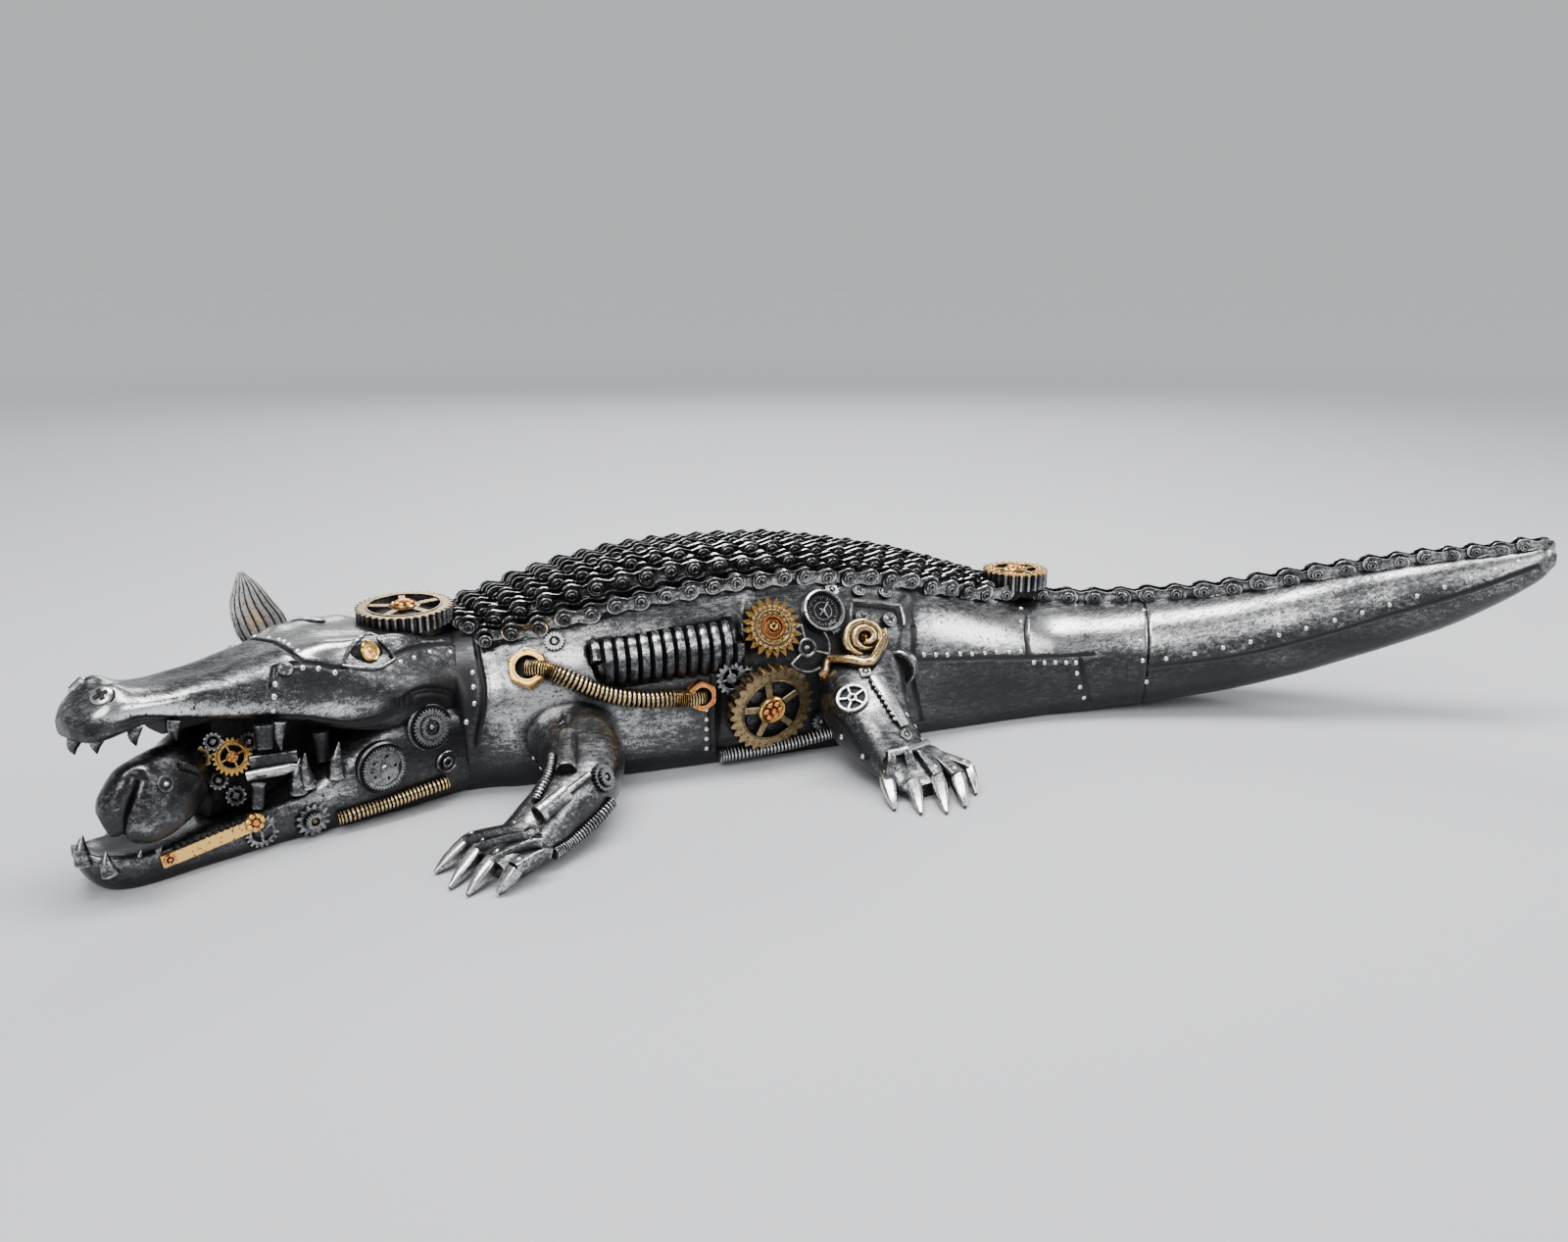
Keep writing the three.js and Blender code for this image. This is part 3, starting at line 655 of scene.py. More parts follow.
# along the head, then half width, top, height of the widest place and underside
SKULL = ((-34, 31, 55, 30, 12), (-20, 32, 59, 34, 17), (-6, 31, 61.5, 38, 22), (6, 30, 63, 42, 26.5),
         (18, 28, 64.5, 46, 30), (28, 25, 65, 49.5, 34), (38, 21.5, 64.5, 51.5, 38.5),
         (50, 18.8, 63.5, 53, 43), (64, 16, 62, 54.5, 47.5), (76, 14.2, 62, 56, 50.5),
         (86, 13.6, 63, 57, 51.5), (93, 13.8, 64, 57.5, 50.5), (98, 12.8, 62.5, 57, 49.5),
         (102, 9.8, 59.5, 56, 49.5), (104.8, 5, 57, 54.5, 51))
JAW = ((-36, 37, 34, 12, -6), (-20, 37, 36, 12, -6), (-6, 35, 37, 12, -6), (6, 32.5, 36, 11, -6),
       (14, 30.8, 33.5, 10.5, -5.5), (22, 28.6, 29.5, 10, -5), (30, 26.2, 25, 9.5, -4.5),
       (38, 23.6, 20, 9, -4.5), (50, 20.3, 15.5, 8.5, -4), (66, 17, 14, 8, -4), (80, 14.8, 12.6, 7.5, -3.5),
       (91, 13.4, 11.6, 7, -3), (98.5, 11, 11.8, 7.5, -1.5), (103, 8, 13.2, 9, 1),
       (106, 4.8, 15.2, 11.5, 5), (107.4, 2.6, 16.4, 13.5, 9.5))
SKULL_CORNERS, JAW_CORNERS = (2.3, 4.5), (5, 2.6)  # how square the sections are above and below
TUCK_FROM, TUCK_LENGTH, TUCK_SHARE = -4, 32, 0.28


def in_head(along, near, z):
    """a point so far along the head, so far to its near side and so high"""
    return HEAD_FROM + HEAD_ALONG * along + HEAD_NEAR * near + UP * z


def far_tuck(along):
    """how far the far cheek draws in behind, because the turned head meets the trunk there"""
    return 1 - TUCK_SHARE * (max(0, TUCK_FROM - along) / TUCK_LENGTH) ** 2


def head_point(rows, along, turn, corners):
    """a point of the skull or the jaw"""
    across, height = rounded(turn, *read(rows, along)[1:], *corners)
    return in_head(along, across * far_tuck(along) if across < 0 else across, height)


def head_places(point):
    """how far along, how far near and how high a point lies in the head"""
    off = point - HEAD_FROM
    return off.dot(HEAD_ALONG), off.dot(HEAD_NEAR), off.z


print("snout tip at", [round(c) for c in in_head(104.8, 0, 54)], "mm")

# %% [markdown]
# First come plain skins: smooth, without a single seam. They serve as the ground that rays are cast at.
# The finished skins further on start from the same rules and get their seams and swellings.

# %% Plain skins as a ground for the details
BODY_FROM, BODY_TO, TAIL_JOINT = -170, 288, 141


def head_sheet(rows, corners, across, along):
    """the skin of the skull or the jaw, so many faces round and long"""
    start, stop = rows[0][0], rows[-1][0]

    def lay(u, v):
        return head_point(rows, start + (stop - start) * v, (u - 0.5) * 2 * math.pi, corners)

    return sheet(across, along, lay)


def ground(shape):
    """a skin that rays can be cast at"""
    bmesh.ops.triangulate(shape, faces=shape.faces)
    tree = BVHTree.FromBMesh(shape)
    shape.free()
    return tree


def bare_body(u, v):
    """the body without seams, as a rule for a sheet"""
    return trunk_at(BODY_FROM + (BODY_TO - BODY_FROM) * v, (u - 0.5) * 2 * math.pi)


body_ground = ground(sheet(72, 230, bare_body))
skull_ground = ground(head_sheet(SKULL, SKULL_CORNERS, 48, 80))
jaw_ground = ground(head_sheet(JAW, JAW_CORNERS, 48, 80))
print("plain skins of body, skull and jaw are ready")

# %% [markdown]
# A spot of the picture becomes a spot of the model: the ray through it lands on one of those skins. The
# photo doesn't show the far side. So every place has a twin there, and what is set on the near side can
# be set on its twin as well.

# %% Picture points and their twins
def spot(px, py, *grounds):
    """where a ray through a point of the picture lands, and the normal there"""
    trees = grounds or (body_ground,)
    beam = sight(px, py)
    found = None
    for tree in trees:
        at, out, _, reach = tree.ray_cast(EYE, beam)
        if at and (found is None or reach < found[2]):
            found = (at, out, reach)
    if found is None:  # the ray just misses, so the skin nearest to it is taken
        along_beam = (EYE + beam * reach for reach in range(300, 800, 4))
        guess = min(along_beam, key=lambda place: trees[0].find_nearest(place)[3])
        found = trees[0].find_nearest(guess)
    return found[0].copy(), found[1].copy()


def spots(pixels, *grounds):
    """the points that a row of picture points lands on"""
    return [spot(px, py, *grounds)[0] for px, py in pixels]


def across_body(at, out):
    """the same place on the figure's other side, and its normal"""
    x = at.x
    for _ in range(4):
        middle, along, near = plan(x)
        x += (at - middle).dot(along)
    middle, along, near = plan(x)
    return at - near * 2 * (at - middle).dot(near), out - near * 2 * out.dot(near)


def across_head(at, out):
    """the same place on the head's other side, and its normal"""
    along, near, _ = head_places(at)
    tuck = far_tuck(along)
    move = near + near * (tuck if near > 0 else 1 / tuck)
    return at - HEAD_NEAR * move, out - HEAD_NEAR * 2 * out.dot(HEAD_NEAR)


def as_it_is(at, out):
    """the near side itself, where a loop runs over both sides"""
    return at, out


print("flank nut lands at", [round(c) for c in spot(539, 683)[0]], "mm")

# %% [markdown]
# Two more tools work the other way round: they ask where a point of the skin lies in the picture. One
# sinks the skin inside an outline, for the vent and the bay that hold the works. The other notes painted
# highlights and painted shade at spots of the picture, and darkens the seams, in an attribute that the
# finishes read.

# %% Picture outlines on the skin
def on_picture(at):
    """where a point of the model appears in the picture"""
    off = at - EYE
    scale = FOCAL / off.dot(LOOK)
    return PICTURE[0] / 2 + scale * off.dot(RIGHT), PICTURE[1] / 2 - scale * off.dot(LIFT)


def depth_inside(outline, px, py):
    """how far inside an outline a picture point lies; negative outside"""
    inside, nearest = False, 1e9
    for (ax, ay), (bx, by) in zip(outline, outline[1:] + outline[:1]):
        if (ay > py) != (by > py) and px < (bx - ax) * (py - ay) / (by - ay) + ax:
            inside = not inside
        run_x, run_y = bx - ax, by - ay
        share = ((px - ax) * run_x + (py - ay) * run_y) / (run_x**2 + run_y**2)
        share = min(max(share, 0), 1)
        nearest = min(nearest, math.hypot(px - ax - share * run_x, py - ay - share * run_y))
    return nearest if inside else -nearest


def near_twin(vert, twin):
    """the point and normal of a skin point, or of its twin if it lies on the far side"""
    at, out = twin(vert.co, vert.normal)
    return (at, out) if vert.co.y > at.y else (vert.co, vert.normal)


def shift(shape, rule):
    """moves every point of a shape by a rule that gives a move or nothing"""
    shape.normal_update()
    moves = [(vert, rule(vert)) for vert in shape.verts]
    for vert, move in moves:
        if move:
            vert.co += move


def sink_inside(shape, outline, depth, slope=5):
    """lowers the skin inside an outline, on both sides, with a slope so many picture points wide"""
    (low_x, high_x), (low_y, high_y) = [(min(row), max(row)) for row in zip(*outline)]

    def sunk(vert):
        at, out = near_twin(vert, across_body)
        px, py = on_picture(at)
        if low_x < px < high_x and low_y < py < high_y and out.dot(LOOK) < 0:
            inside = max(depth_inside(outline, px, py), 0)
            return vert.normal * -depth * min(inside / slope, 1)

    shift(shape, sunk)


SEAM_SHADE, SEAM_REACH = 1.4, 0.85  # how dark a seam is, and how far its shade reaches in millimetres


def paint_light_and_seams(shape, painted_light_spots, twin, seams=None):
    """notes painted highlights and painted shade, each a place, a reach and a weight in the picture, on both
    sides, with the seams darkened
    """
    layer = shape.verts.layers.float.new("brushed")
    for vert in shape.verts:
        px, py = on_picture(near_twin(vert, twin)[0])
        weight = 0.0
        for x, y, reach_x, reach_y, amount in painted_light_spots:
            off = ((px - x) / reach_x) ** 2 + ((py - y) / reach_y) ** 2
            if off < 5:
                weight += amount * math.exp(-off)
        if seams:
            off = seams.find(vert.co)[2]
            weight -= SEAM_SHADE * math.exp(-((off / SEAM_REACH) ** 2))
        vert[layer] = weight


VENT = ((597, 662), (606, 654), (745, 629), (757, 632), (759, 682), (744, 687), (640, 701), (618, 702),
        (607, 690))
BAY = ((757, 606), (770, 597), (860, 598), (927, 604), (932, 640), (925, 690), (905, 682), (868, 678),
       (846, 700), (852, 748), (735, 772), (728, 764), (728, 700), (748, 688), (760, 684), (758, 640))
# painted highlights (positive weight) and painted shade (negative weight) on body and tail: picture place,
# reach and weight
BODY_PAINTED_LIGHT = ((545, 715, 50, 44, 0.42), (600, 690, 30, 20, 0.25), (640, 745, 70, 18, 0.12),
                (620, 788, 130, 16, -0.4), (985, 645, 55, 15, 0.55), (985, 705, 70, 30, -0.22),
                (1075, 640, 26, 22, 0.25), (1140, 640, 30, 14, 0.12), (1110, 700, 90, 20, -0.25),
                (1240, 628, 70, 9, 0.08), (1240, 688, 60, 15, -0.3), (1400, 598, 110, 9, -0.08),
                (1390, 655, 100, 11, -0.3), (474, 705, 16, 62, -0.75), (499, 700, 9, 40, 0.15),
                (1560, 565, 20, 10, 0.25), (800, 700, 75, 80, -0.3), (880, 620, 50, 25, -0.25),
                (660, 625, 90, 10, -0.1), (926, 628, 9, 45, -0.5))
print("outlines for the vent and the bay")

# %% [markdown]
# The cast body is made to look like plates that are riveted together. Where two plates meet there is a
# groove with a faint lip. The groove is pressed into the skin itself: faces near the line are divided,
# then every point near it moves in by a soft step. The lines were read off the picture as rows of
# points and dropped on the skin by the camera's rays, and each has its twin on the hidden side.

# %% Plate seams of the body
BODY_SEAMS = (
    ((1047, 609), (1047, 640), (1049, 671)),
    ((933, 674), (990, 672), (1049, 671), (1102, 669)),
    ((1102, 669), (1106, 690), (1112, 716)),
    ((1102, 669), (1116, 668)),
    ((1174, 681), (1260, 670), (1341, 651), (1421, 627), (1501, 603), (1568, 578)),
    ((727, 690), (725, 726), (727, 764)),
    ((932, 640), (931, 690), (940, 735)),
    ((484, 648), (487, 664), (490, 680), (493, 695), (494, 708), (493, 724), (490, 741), (487, 758)),
)
SEEN = 2.6  # the skin is made finer this near to a seam, in millimetres


def densely(points, gap=0.5):
    """points every gap along a broken line"""
    dense = []
    for a, b in zip(points, points[1:]):
        steps = max(int((b - a).length / gap), 1)
        dense += [a.lerp(b, i / steps) for i in range(steps)]
    return dense + [points[-1]]


def seam_tree(lines, twin):
    """a look-up of how far a place is from the nearest seam; twin adds the seams of the other side"""
    dense = []
    for line in lines:
        smooth = [smooth_line(line, i / 60) for i in range(61)] if len(line) > 2 else line
        for at in densely(smooth):
            dense.append(at)
            if twin:
                dense.append(twin(at, UP)[0])
    tree = KDTree(len(dense))
    for i, at in enumerate(dense):
        tree.insert(at, i)
    tree.balance()
    return tree


def press_seams(shape, tree, depth=0.75, width=0.75, finer=2):
    """grooves along the lines of a tree, with a faint lip on both sides"""
    near = {vert for vert in shape.verts if tree.find(vert.co)[2] < SEEN}
    edges = [edge for edge in shape.edges if edge.verts[0] in near and edge.verts[1] in near]
    if edges:
        bmesh.ops.subdivide_edges(shape, edges=edges, cuts=finer, use_grid_fill=True)

    def pressed(vert):
        off = tree.find(vert.co)[2]
        groove = depth * math.exp(-((off / width) ** 2))
        lip = 0.1 * math.exp(-(((off - 1.6) / 0.6) ** 2))
        return vert.normal * (lip - groove) if off < 3 else None

    shift(shape, pressed)


def hand_worked(shape, amount=0.22, size=14.0):
    """the slight unevenness of a form that was modelled by hand"""
    shift(shape, lambda vert: vert.normal * (noise.noise(vert.co / size) * amount))


body_lines = [spots(line) for line in BODY_SEAMS]
body_seams = seam_tree(body_lines, across_body)
print("body seams:", len(body_lines))

# %% [markdown]
# A joint runs round the real body behind the hips, and the front end of the trunk rolls in under the
# collar. So the skin is made as a trunk and a tail that roll in at their ends. Each gets its seams, the
# trunk also the sunk vent and bay, and both a faint unevenness, as a form that was modelled by hand has.

# %% The body skin
def closing(x, joint, reach=1.3, depth=0.8):
    """how far the skin rolls in where a plate ends"""
    off = abs(x - joint) / reach
    return depth * math.sqrt(max(1 - (1 - off) ** 2, 0)) - depth if off < 1 else 0.0


def on_floor(shape):
    """cuts a shape off at the ground and closes the cut"""
    every = shape.verts[:] + shape.edges[:] + shape.faces[:]
    bmesh.ops.bisect_plane(shape, geom=every, plane_co=(0, 0, 0), plane_no=(0, 0, -1), clear_outer=True)
    bmesh.ops.holes_fill(shape, edges=[edge for edge in shape.edges if edge.is_boundary], sides=0)
    return shape


def neck_rim(x):
    """the trunk rolls in behind the head, with a slight swelling round the edge"""
    past = x - BODY_FROM
    return closing(x, BODY_FROM, 3.0, 2.4) + 0.25 * math.exp(-(((past - 3.5) / 2.2) ** 2))


def skin_sheet(from_x, to_x, across, along, rims=()):
    """a stretch of the skin that rolls in at the tail joint and by further rules"""
    def lay(u, v):
        x, turn = from_x + (to_x - from_x) * v, (u - 0.5) * 2 * math.pi
        sink = closing(x, TAIL_JOINT) + sum(rim_at(x) for rim_at in rims)
        return trunk_at(x, turn) + (trunk_normal(x, turn) * sink if sink else Vector())

    return sheet(across, along, lay)


trunk_skin = skin_sheet(BODY_FROM, TAIL_JOINT, 176, 330, (neck_rim,))
press_seams(trunk_skin, body_seams)
sink_inside(trunk_skin, VENT, 3.4, 4)
sink_inside(trunk_skin, BAY, 1.9, 9)
hand_worked(trunk_skin)
paint_light_and_seams(trunk_skin, BODY_PAINTED_LIGHT, across_body, body_seams)
piece("trunk", on_floor(trunk_skin), silver, sharp=60)
tail_skin = skin_sheet(TAIL_JOINT, BODY_TO, 120, 180)
press_seams(tail_skin, body_seams)
hand_worked(tail_skin, 0.15)
paint_light_and_seams(tail_skin, BODY_PAINTED_LIGHT, across_body, body_seams)
piece("tail", on_floor(tail_skin), silver, sharp=60)

# %% [markdown]
# The skull starts as its loft. Then it is worked like clay: the brows and nostrils are pushed out, the
# eye sockets pushed in, and the plate seams and the fine double line of the lip are pressed into it.
# Each push moves the points inside an egg-shaped region, most in its middle.

# %% Skull skin
eye_along, eye_near, eye_z = head_places(spot(377, 663, skull_ground)[0])
print("eye in the head:", round(eye_along, 1), round(eye_near, 1), round(eye_z, 1))
SKULL_SEAMS = (
    ((280, 680), (277, 700), (269, 737)),
    ((280, 656), (294, 664), (308, 675)),
    ((280, 680), (309, 676), (325, 678), (342, 682), (352, 680)),
    ((400, 670), (420, 662), (450, 657), (482, 658)),
)
LIP_LINE = ((90, 744), (140, 733), (190, 732), (220, 740), (250, 736), (270, 733), (290, 731),
            (310, 732), (350, 737), (380, 733), (398, 725), (420, 707), (440, 702), (462, 707),
            (480, 722))
PUSH_FALL = 1.4  # how quickly a push fades from its middle


def push(shape, centre, sizes, height, way=None):
    """moves the points within an egg about a place in the head, along their normals or one way"""
    def pushed(vert):
        place = head_places(vert.co)
        off = sum(((place[i] - centre[i]) / sizes[i]) ** 2 for i in range(3))
        return (way or vert.normal) * (height * math.exp(-PUSH_FALL * off)) if off < 4 else None

    shift(shape, pushed)


# along, near, height, reach and rise of the bumps that make a brow
BROW = ((-4, 20, 60, 9, 2.6), (6, 20, 62, 9, 3.2), (16, 19, 62.5, 9, 3.0), (26, 16, 62, 8, 2.0),
        (34, 13.5, 61, 8, 1.0))
skull_skin = head_sheet(SKULL, SKULL_CORNERS, 150, 210)
for side in (1, -1):
    brow_way = HEAD_NEAR * side * 0.5 + UP
    for along, near, z, reach, height in BROW:
        push(skull_skin, (along, side * near, z), (reach, 6.5, 7), height, brow_way)
    push(skull_skin, (eye_along, side * eye_near, eye_z), (9, 7, 4.6), -2.2)  # eye socket
    push(skull_skin, (92, side * 6.5, 63), (6, 5, 5), 2.4, UP)  # nostril
    push(skull_skin, (8, side * 29, 43), (22, 8, 9), 2.2)  # cheek
    push(skull_skin, (50, side * 20, 50), (24, 8, 4.5), 1.3)  # swelling of the lip
    push(skull_skin, (72, side * 15, 54.5), (7, 6, 5), -1.2)  # waist behind the snout
push(skull_skin, (60, 0, 66), (28, 8, 6), -1.6, UP)  # hollow along the bridge
skull_ground = BVHTree.FromBMesh(skull_skin)
skull_lines = [spots(line, skull_ground) for line in SKULL_SEAMS]
skull_seams = seam_tree(skull_lines, across_head)
press_seams(skull_skin, skull_seams, depth=0.7, width=0.6, finer=1)
lip_lines = [spots(LIP_LINE, skull_ground, jaw_ground)]
lip_lines.append(spots([(px, py + 4) for px, py in LIP_LINE], skull_ground, jaw_ground))
press_seams(skull_skin, seam_tree(lip_lines, across_head), depth=0.8, width=0.5, finer=1)
hand_worked(skull_skin, 0.3, 11)
# painted highlights (positive weight) and painted shade (negative weight) on skull and jaw: picture place,
# reach and weight
HEAD_PAINTED_LIGHT = ((190, 726, 100, 9, 0.5), (135, 724, 34, 9, 0.3), (335, 723, 60, 9, 0.35),
                (330, 666, 26, 9, 0.5), (440, 696, 42, 26, -0.34), (210, 697, 90, 11, -0.12),
                (80, 715, 22, 28, -0.22), (310, 695, 30, 11, -0.2), (310, 810, 40, 14, 0.36),
                (118, 884, 34, 10, 0.22), (400, 745, 30, 8, 0.3), (180, 878, 60, 14, 0.12),
                (250, 888, 130, 12, -0.4), (125, 865, 45, 7, -0.45), (420, 830, 80, 14, -0.4),
                (440, 745, 30, 26, -0.3), (395, 783, 28, 26, -0.3))
paint_light_and_seams(skull_skin, HEAD_PAINTED_LIGHT, across_head, seam_tree(skull_lines + lip_lines, across_head))
piece("skull", skull_skin, silver, sharp=60)

# %% [markdown]
# The lower jaw is flat on top, where the fish lies, and round below. It carries the wheels and the hose
# of the cheek, so its side is left plain here.

# %% Lower jaw skin
jaw_skin = head_sheet(JAW, JAW_CORNERS, 140, 190)
for side in (1, -1):
    push(jaw_skin, (98, side * 8, 14), (9, 5, 6), 1.2)  # chin
    push(jaw_skin, (74, side * 15, 12), (16, 6, 6), -0.8)  # waist behind it
push(jaw_skin, (60, 0, 15), (38, 12, 5), -2.4, UP)  # the trough that the fish lies in
jaw_ground = BVHTree.FromBMesh(jaw_skin)
hand_worked(jaw_skin, 0.35, 9)
paint_light_and_seams(jaw_skin, HEAD_PAINTED_LIGHT, across_head)
piece("lower_jaw", on_floor(jaw_skin), silver, sharp=60)

# %% [markdown]
# Legs, toes and the fish are limbs: soft oval sections strung along a path. One helper makes them all
# from rows of centre, half width and half height.

# %% Limb helper
def limb(stations, squareness=2.2, sides=36, rings=70):
    """a closed skin through rows of x, y, z, half width and half height"""
    rows = [(i, *station) for i, station in enumerate(stations)]
    last = len(rows) - 1
    power = 2 / squareness
    chord = (Vector(stations[-1][:3]) - Vector(stations[0][:3])).normalized()
    level = UP if abs(chord.z) < 0.85 else Vector((1, 0, 0))  # an upright limb needs another level
    sections = []
    for i in range(rings + 1):
        t = last * i / rings
        row = read(rows, t)
        ahead, behind = read(rows, min(t + 0.05, last)), read(rows, max(t - 0.05, 0))
        forward = (Vector(ahead[1:4]) - Vector(behind[1:4])).normalized()
        side = forward.cross(level).normalized()
        sections.append((Vector(row[1:4]), side, side.cross(forward).normalized(), row[4], row[5]))

    def lay(u, v):
        middle, side, up, width, height = sections[round(v * rings)]
        turn = u * 2 * math.pi
        flat, tall = math.cos(turn), math.sin(turn)
        return (middle + side * (width * math.copysign(abs(flat) ** power, flat))
                + up * (height * math.copysign(abs(tall) ** power, tall)))

    return sheet(sides, rings, lay)


FRONT_LEG = ((-119, -30, 20, 17, 13), (-119, -47, 20.5, 16.5, 13), (-118.5, -61, 19.5, 15, 12.5),
             (-121, -75, 16, 13.5, 12.5), (-130, -88, 13, 11.5, 11.5), (-142, -99, 9.5, 9.8, 8.5),
             (-150, -105, 6, 10.5, 6), (-156, -108, 4.5, 8.5, 4))
HIND_LEG = ((1, -28, 26, 19, 18), (-2, -42, 26, 18.5, 16.5), (-6, -55, 23.5, 17, 15),
            (-7, -67, 18.5, 15.5, 13), (-4.5, -78, 12.5, 13.5, 10), (-1, -87, 7.5, 12.5, 7),
            (1.5, -93, 4.5, 12, 5), (2.5, -98, 3, 10, 3.5))
# fingers as picture points of root, knuckle and tip, with their half width
FRONT_TOES = (((525, 847), (477, 856), (444, 890), 2.6), ((533, 852), (489, 863), (459, 906), 2.5),
              ((541, 859), (502, 876), (477, 913), 2.5), ((550, 869), (524, 885), (508, 912), 2.4))
HIND_TOES = (((908, 775), (905, 793), (913, 826), 2.7), ((924, 770), (930, 790), (940, 830), 3.0),
             ((939, 768), (956, 790), (966, 829), 3.0), ((952, 767), (977, 791), (985, 823), 2.8),
             ((960, 764), (989, 783), (996, 810), 2.3))


def to_side(point, side):
    """a point of the near half, or its mirror image for side -1"""
    return Vector((point[0], side * point[1], point[2]))


def leg_shape(stations, side, sides, rings):
    """a leg skin, mirrored across the middle for side -1"""
    placed = [(x, side * y, z, width, height) for x, y, z, width, height in stations]
    return limb(placed, 2.2, sides, rings)


leg_ground = ground(leg_shape(FRONT_LEG, 1, 32, 50))
hind_ground = ground(leg_shape(HIND_LEG, 1, 32, 50))
print("front leg at", [round(c) for c in spot(593, 745, leg_ground)[0]], "mm")

# %% [markdown]
# Each leg is a soft skin with seams at the shoulder and the wrist. A toe is a jointed finger: a flat
# bar from the wrist with a bolt at the knuckle, then a step and a claw that tapers to the ground.

# %% Legs and toes
FRONT_SEAMS = (((577, 728), (577, 745), (575, 760)), ((536, 757), (545, 776), (552, 792)),
               ((520, 845), (535, 853), (551, 865)))
HIND_SEAMS = (((910, 767), (925, 765), (941, 761)), ((846, 725), (862, 742), (885, 772)),
              ((925, 705), (940, 730), (950, 756)))


def over(at, out):
    """the same place on the opposite leg, and its normal"""
    return Vector((at.x, -at.y, at.z)), Vector((out.x, -out.y, out.z))


def at_height(px, py, z):
    """the point of a picture ray at a height above the ground"""
    way = sight(px, py)
    return EYE + way * ((z - EYE.z) / way.z)


def toe(target, claws, bolts, root, knuckle, tip, width, side):
    """a flat finger bar with a bolt near its knuckle, a step down, and a claw that tapers to the ground"""
    root, knuckle, tip = (to_side(at, side) for at in (root, knuckle, tip))
    inside = root.lerp(knuckle, -0.3) - UP * 1.5
    bar = [(*inside, width, 1.8), (*root, width, 1.8), (*root.lerp(knuckle, 0.55), width, 2.0),
           (*knuckle, width, 1.9)]
    add(target, limb(bar, 6, 24, 14))
    forward = (tip - knuckle).normalized()
    drop = knuckle - UP * 1.2 - forward * 0.8
    claw = [(*drop, width * 0.96, 2.4), (*drop.lerp(tip, 0.3), width * 0.98, 2.4),
            (*drop.lerp(tip, 0.7), width * 0.66, 1.9), (*tip, width * 0.22, 0.8)]
    add(claws, limb(claw, 3.2, 24, 16))
    along = (knuckle - root).normalized()
    out = (UP - along * UP.dot(along)).normalized()
    bolts.append((knuckle - along * 2.4 + out * 1.9, out))


bolt_places = []
# painted highlights (positive weight) and painted shade (negative weight) on the legs: picture place, reach
# and weight
LEG_PAINTED_LIGHT = ((590, 745, 34, 30, -0.16), (560, 860, 30, 20, 0.05), (605, 840, 20, 30, -0.25),
               (893, 729, 14, 15, 0.5), (870, 765, 36, 22, -0.25), (860, 700, 20, 20, -0.15),
               (550, 770, 12, 25, -0.2))
LEGS = (("front", FRONT_LEG, FRONT_TOES, FRONT_SEAMS, leg_ground),
        ("hind", HIND_LEG, HIND_TOES, HIND_SEAMS, hind_ground))
for name, stations, toes, seams, skin_ground in LEGS:
    seam_lines = [spots(line, skin_ground) for line in seams]
    for side, word in ((1, "left"), (-1, "right")):
        skin = leg_shape(stations, side, 72, 110)
        lines = seam_lines if side == 1 else [[over(at, UP)[0] for at in line] for line in seam_lines]
        leg_seams = seam_tree(lines, None)
        press_seams(skin, leg_seams, depth=0.8, width=0.7, finer=1)
        hand_worked(skin, 0.4, 8)
        paint_light_and_seams(skin, LEG_PAINTED_LIGHT, over, leg_seams)
        piece(f"{name}_leg_{word}", on_floor(skin), silver, sharp=60)
        fingers, claws = bmesh.new(), bmesh.new()
        for root, knuckle, tip, width in toes:
            root_at, root_out = spot(*root, skin_ground)
            joints = root_at + root_out * 0.3, at_height(*knuckle, 7.6), at_height(*tip, 1.0)
            toe(fingers, claws, bolt_places, *joints, width, side)
        piece(f"{name}_fingers_{word}", on_floor(fingers), silver, sharp=35)
        piece(f"{name}_claws_{word}", on_floor(claws), bright_silver, sharp=35)

# %% [markdown]
# The fish lies across the jaws: its head and open mouth look out on the near side, the body crosses the
# mouth behind the teeth, and the tail fin stands up on the far side. It is one limb. Its mouth and its
# gill are pressed in like the seams, and its lips and brow are pushed out.

# %% Fish
# along the head, near, height, half width and half height of the sections, from mouth to tail
FISH = ((102.5, 12.5, 25.5, 2.5, 4.5), (99.7, 12.5, 26.4, 6, 8.8), (95.5, 12.5, 27.4, 9, 12.2),
        (90, 12.2, 28.5, 10.5, 13.8), (83, 9.5, 29, 10.5, 13.8), (75, 3.5, 30.2, 9.5, 12.6),
        (62, -9, 34, 7.4, 10.8), (49, -20, 39.5, 5.6, 9.2), (38, -29, 44, 4.2, 7.4),
        (27, -36.5, 47.5, 2.8, 5.6), (20, -40.5, 50, 2, 4.5))
# along the head, near, height, half thickness and half breadth, from root to point
FIN = ((18, -40.5, 47, 1.9, 5), (18.5, -40.5, 58, 1.7, 10.2), (21.5, -40.5, 68, 1.4, 8.2),
       (22.6, -40.5, 75, 1.1, 4.8), (23.8, -40.5, 80.5, 0.7, 1))
fish_rows = [(*in_head(along, near, z), width, height) for along, near, z, width, height in FISH]
fish_ground = ground(limb(fish_rows, 2, 32, 60))
fish_skin = limb(fish_rows, 2, 96, 160)
MOUTH_LINE = ((139, 797), (135, 808), (131, 820), (127, 833), (126, 846), (127, 858))
GILL_LINE = ((186, 782), (200, 787), (212, 797), (218, 806), (216, 813), (208, 816))
# picture point, reach and rise: three on the upper lip, the lower jaw, the brow and the gill cover
FISH_BUMPS = ((124, 803, 5, 1.6), (115, 822, 5, 1.6), (114, 842, 5, 1.6), (145, 845, 8, 1.5),
              (141, 788, 5, 1.4), (203, 795, 4, 1.0))
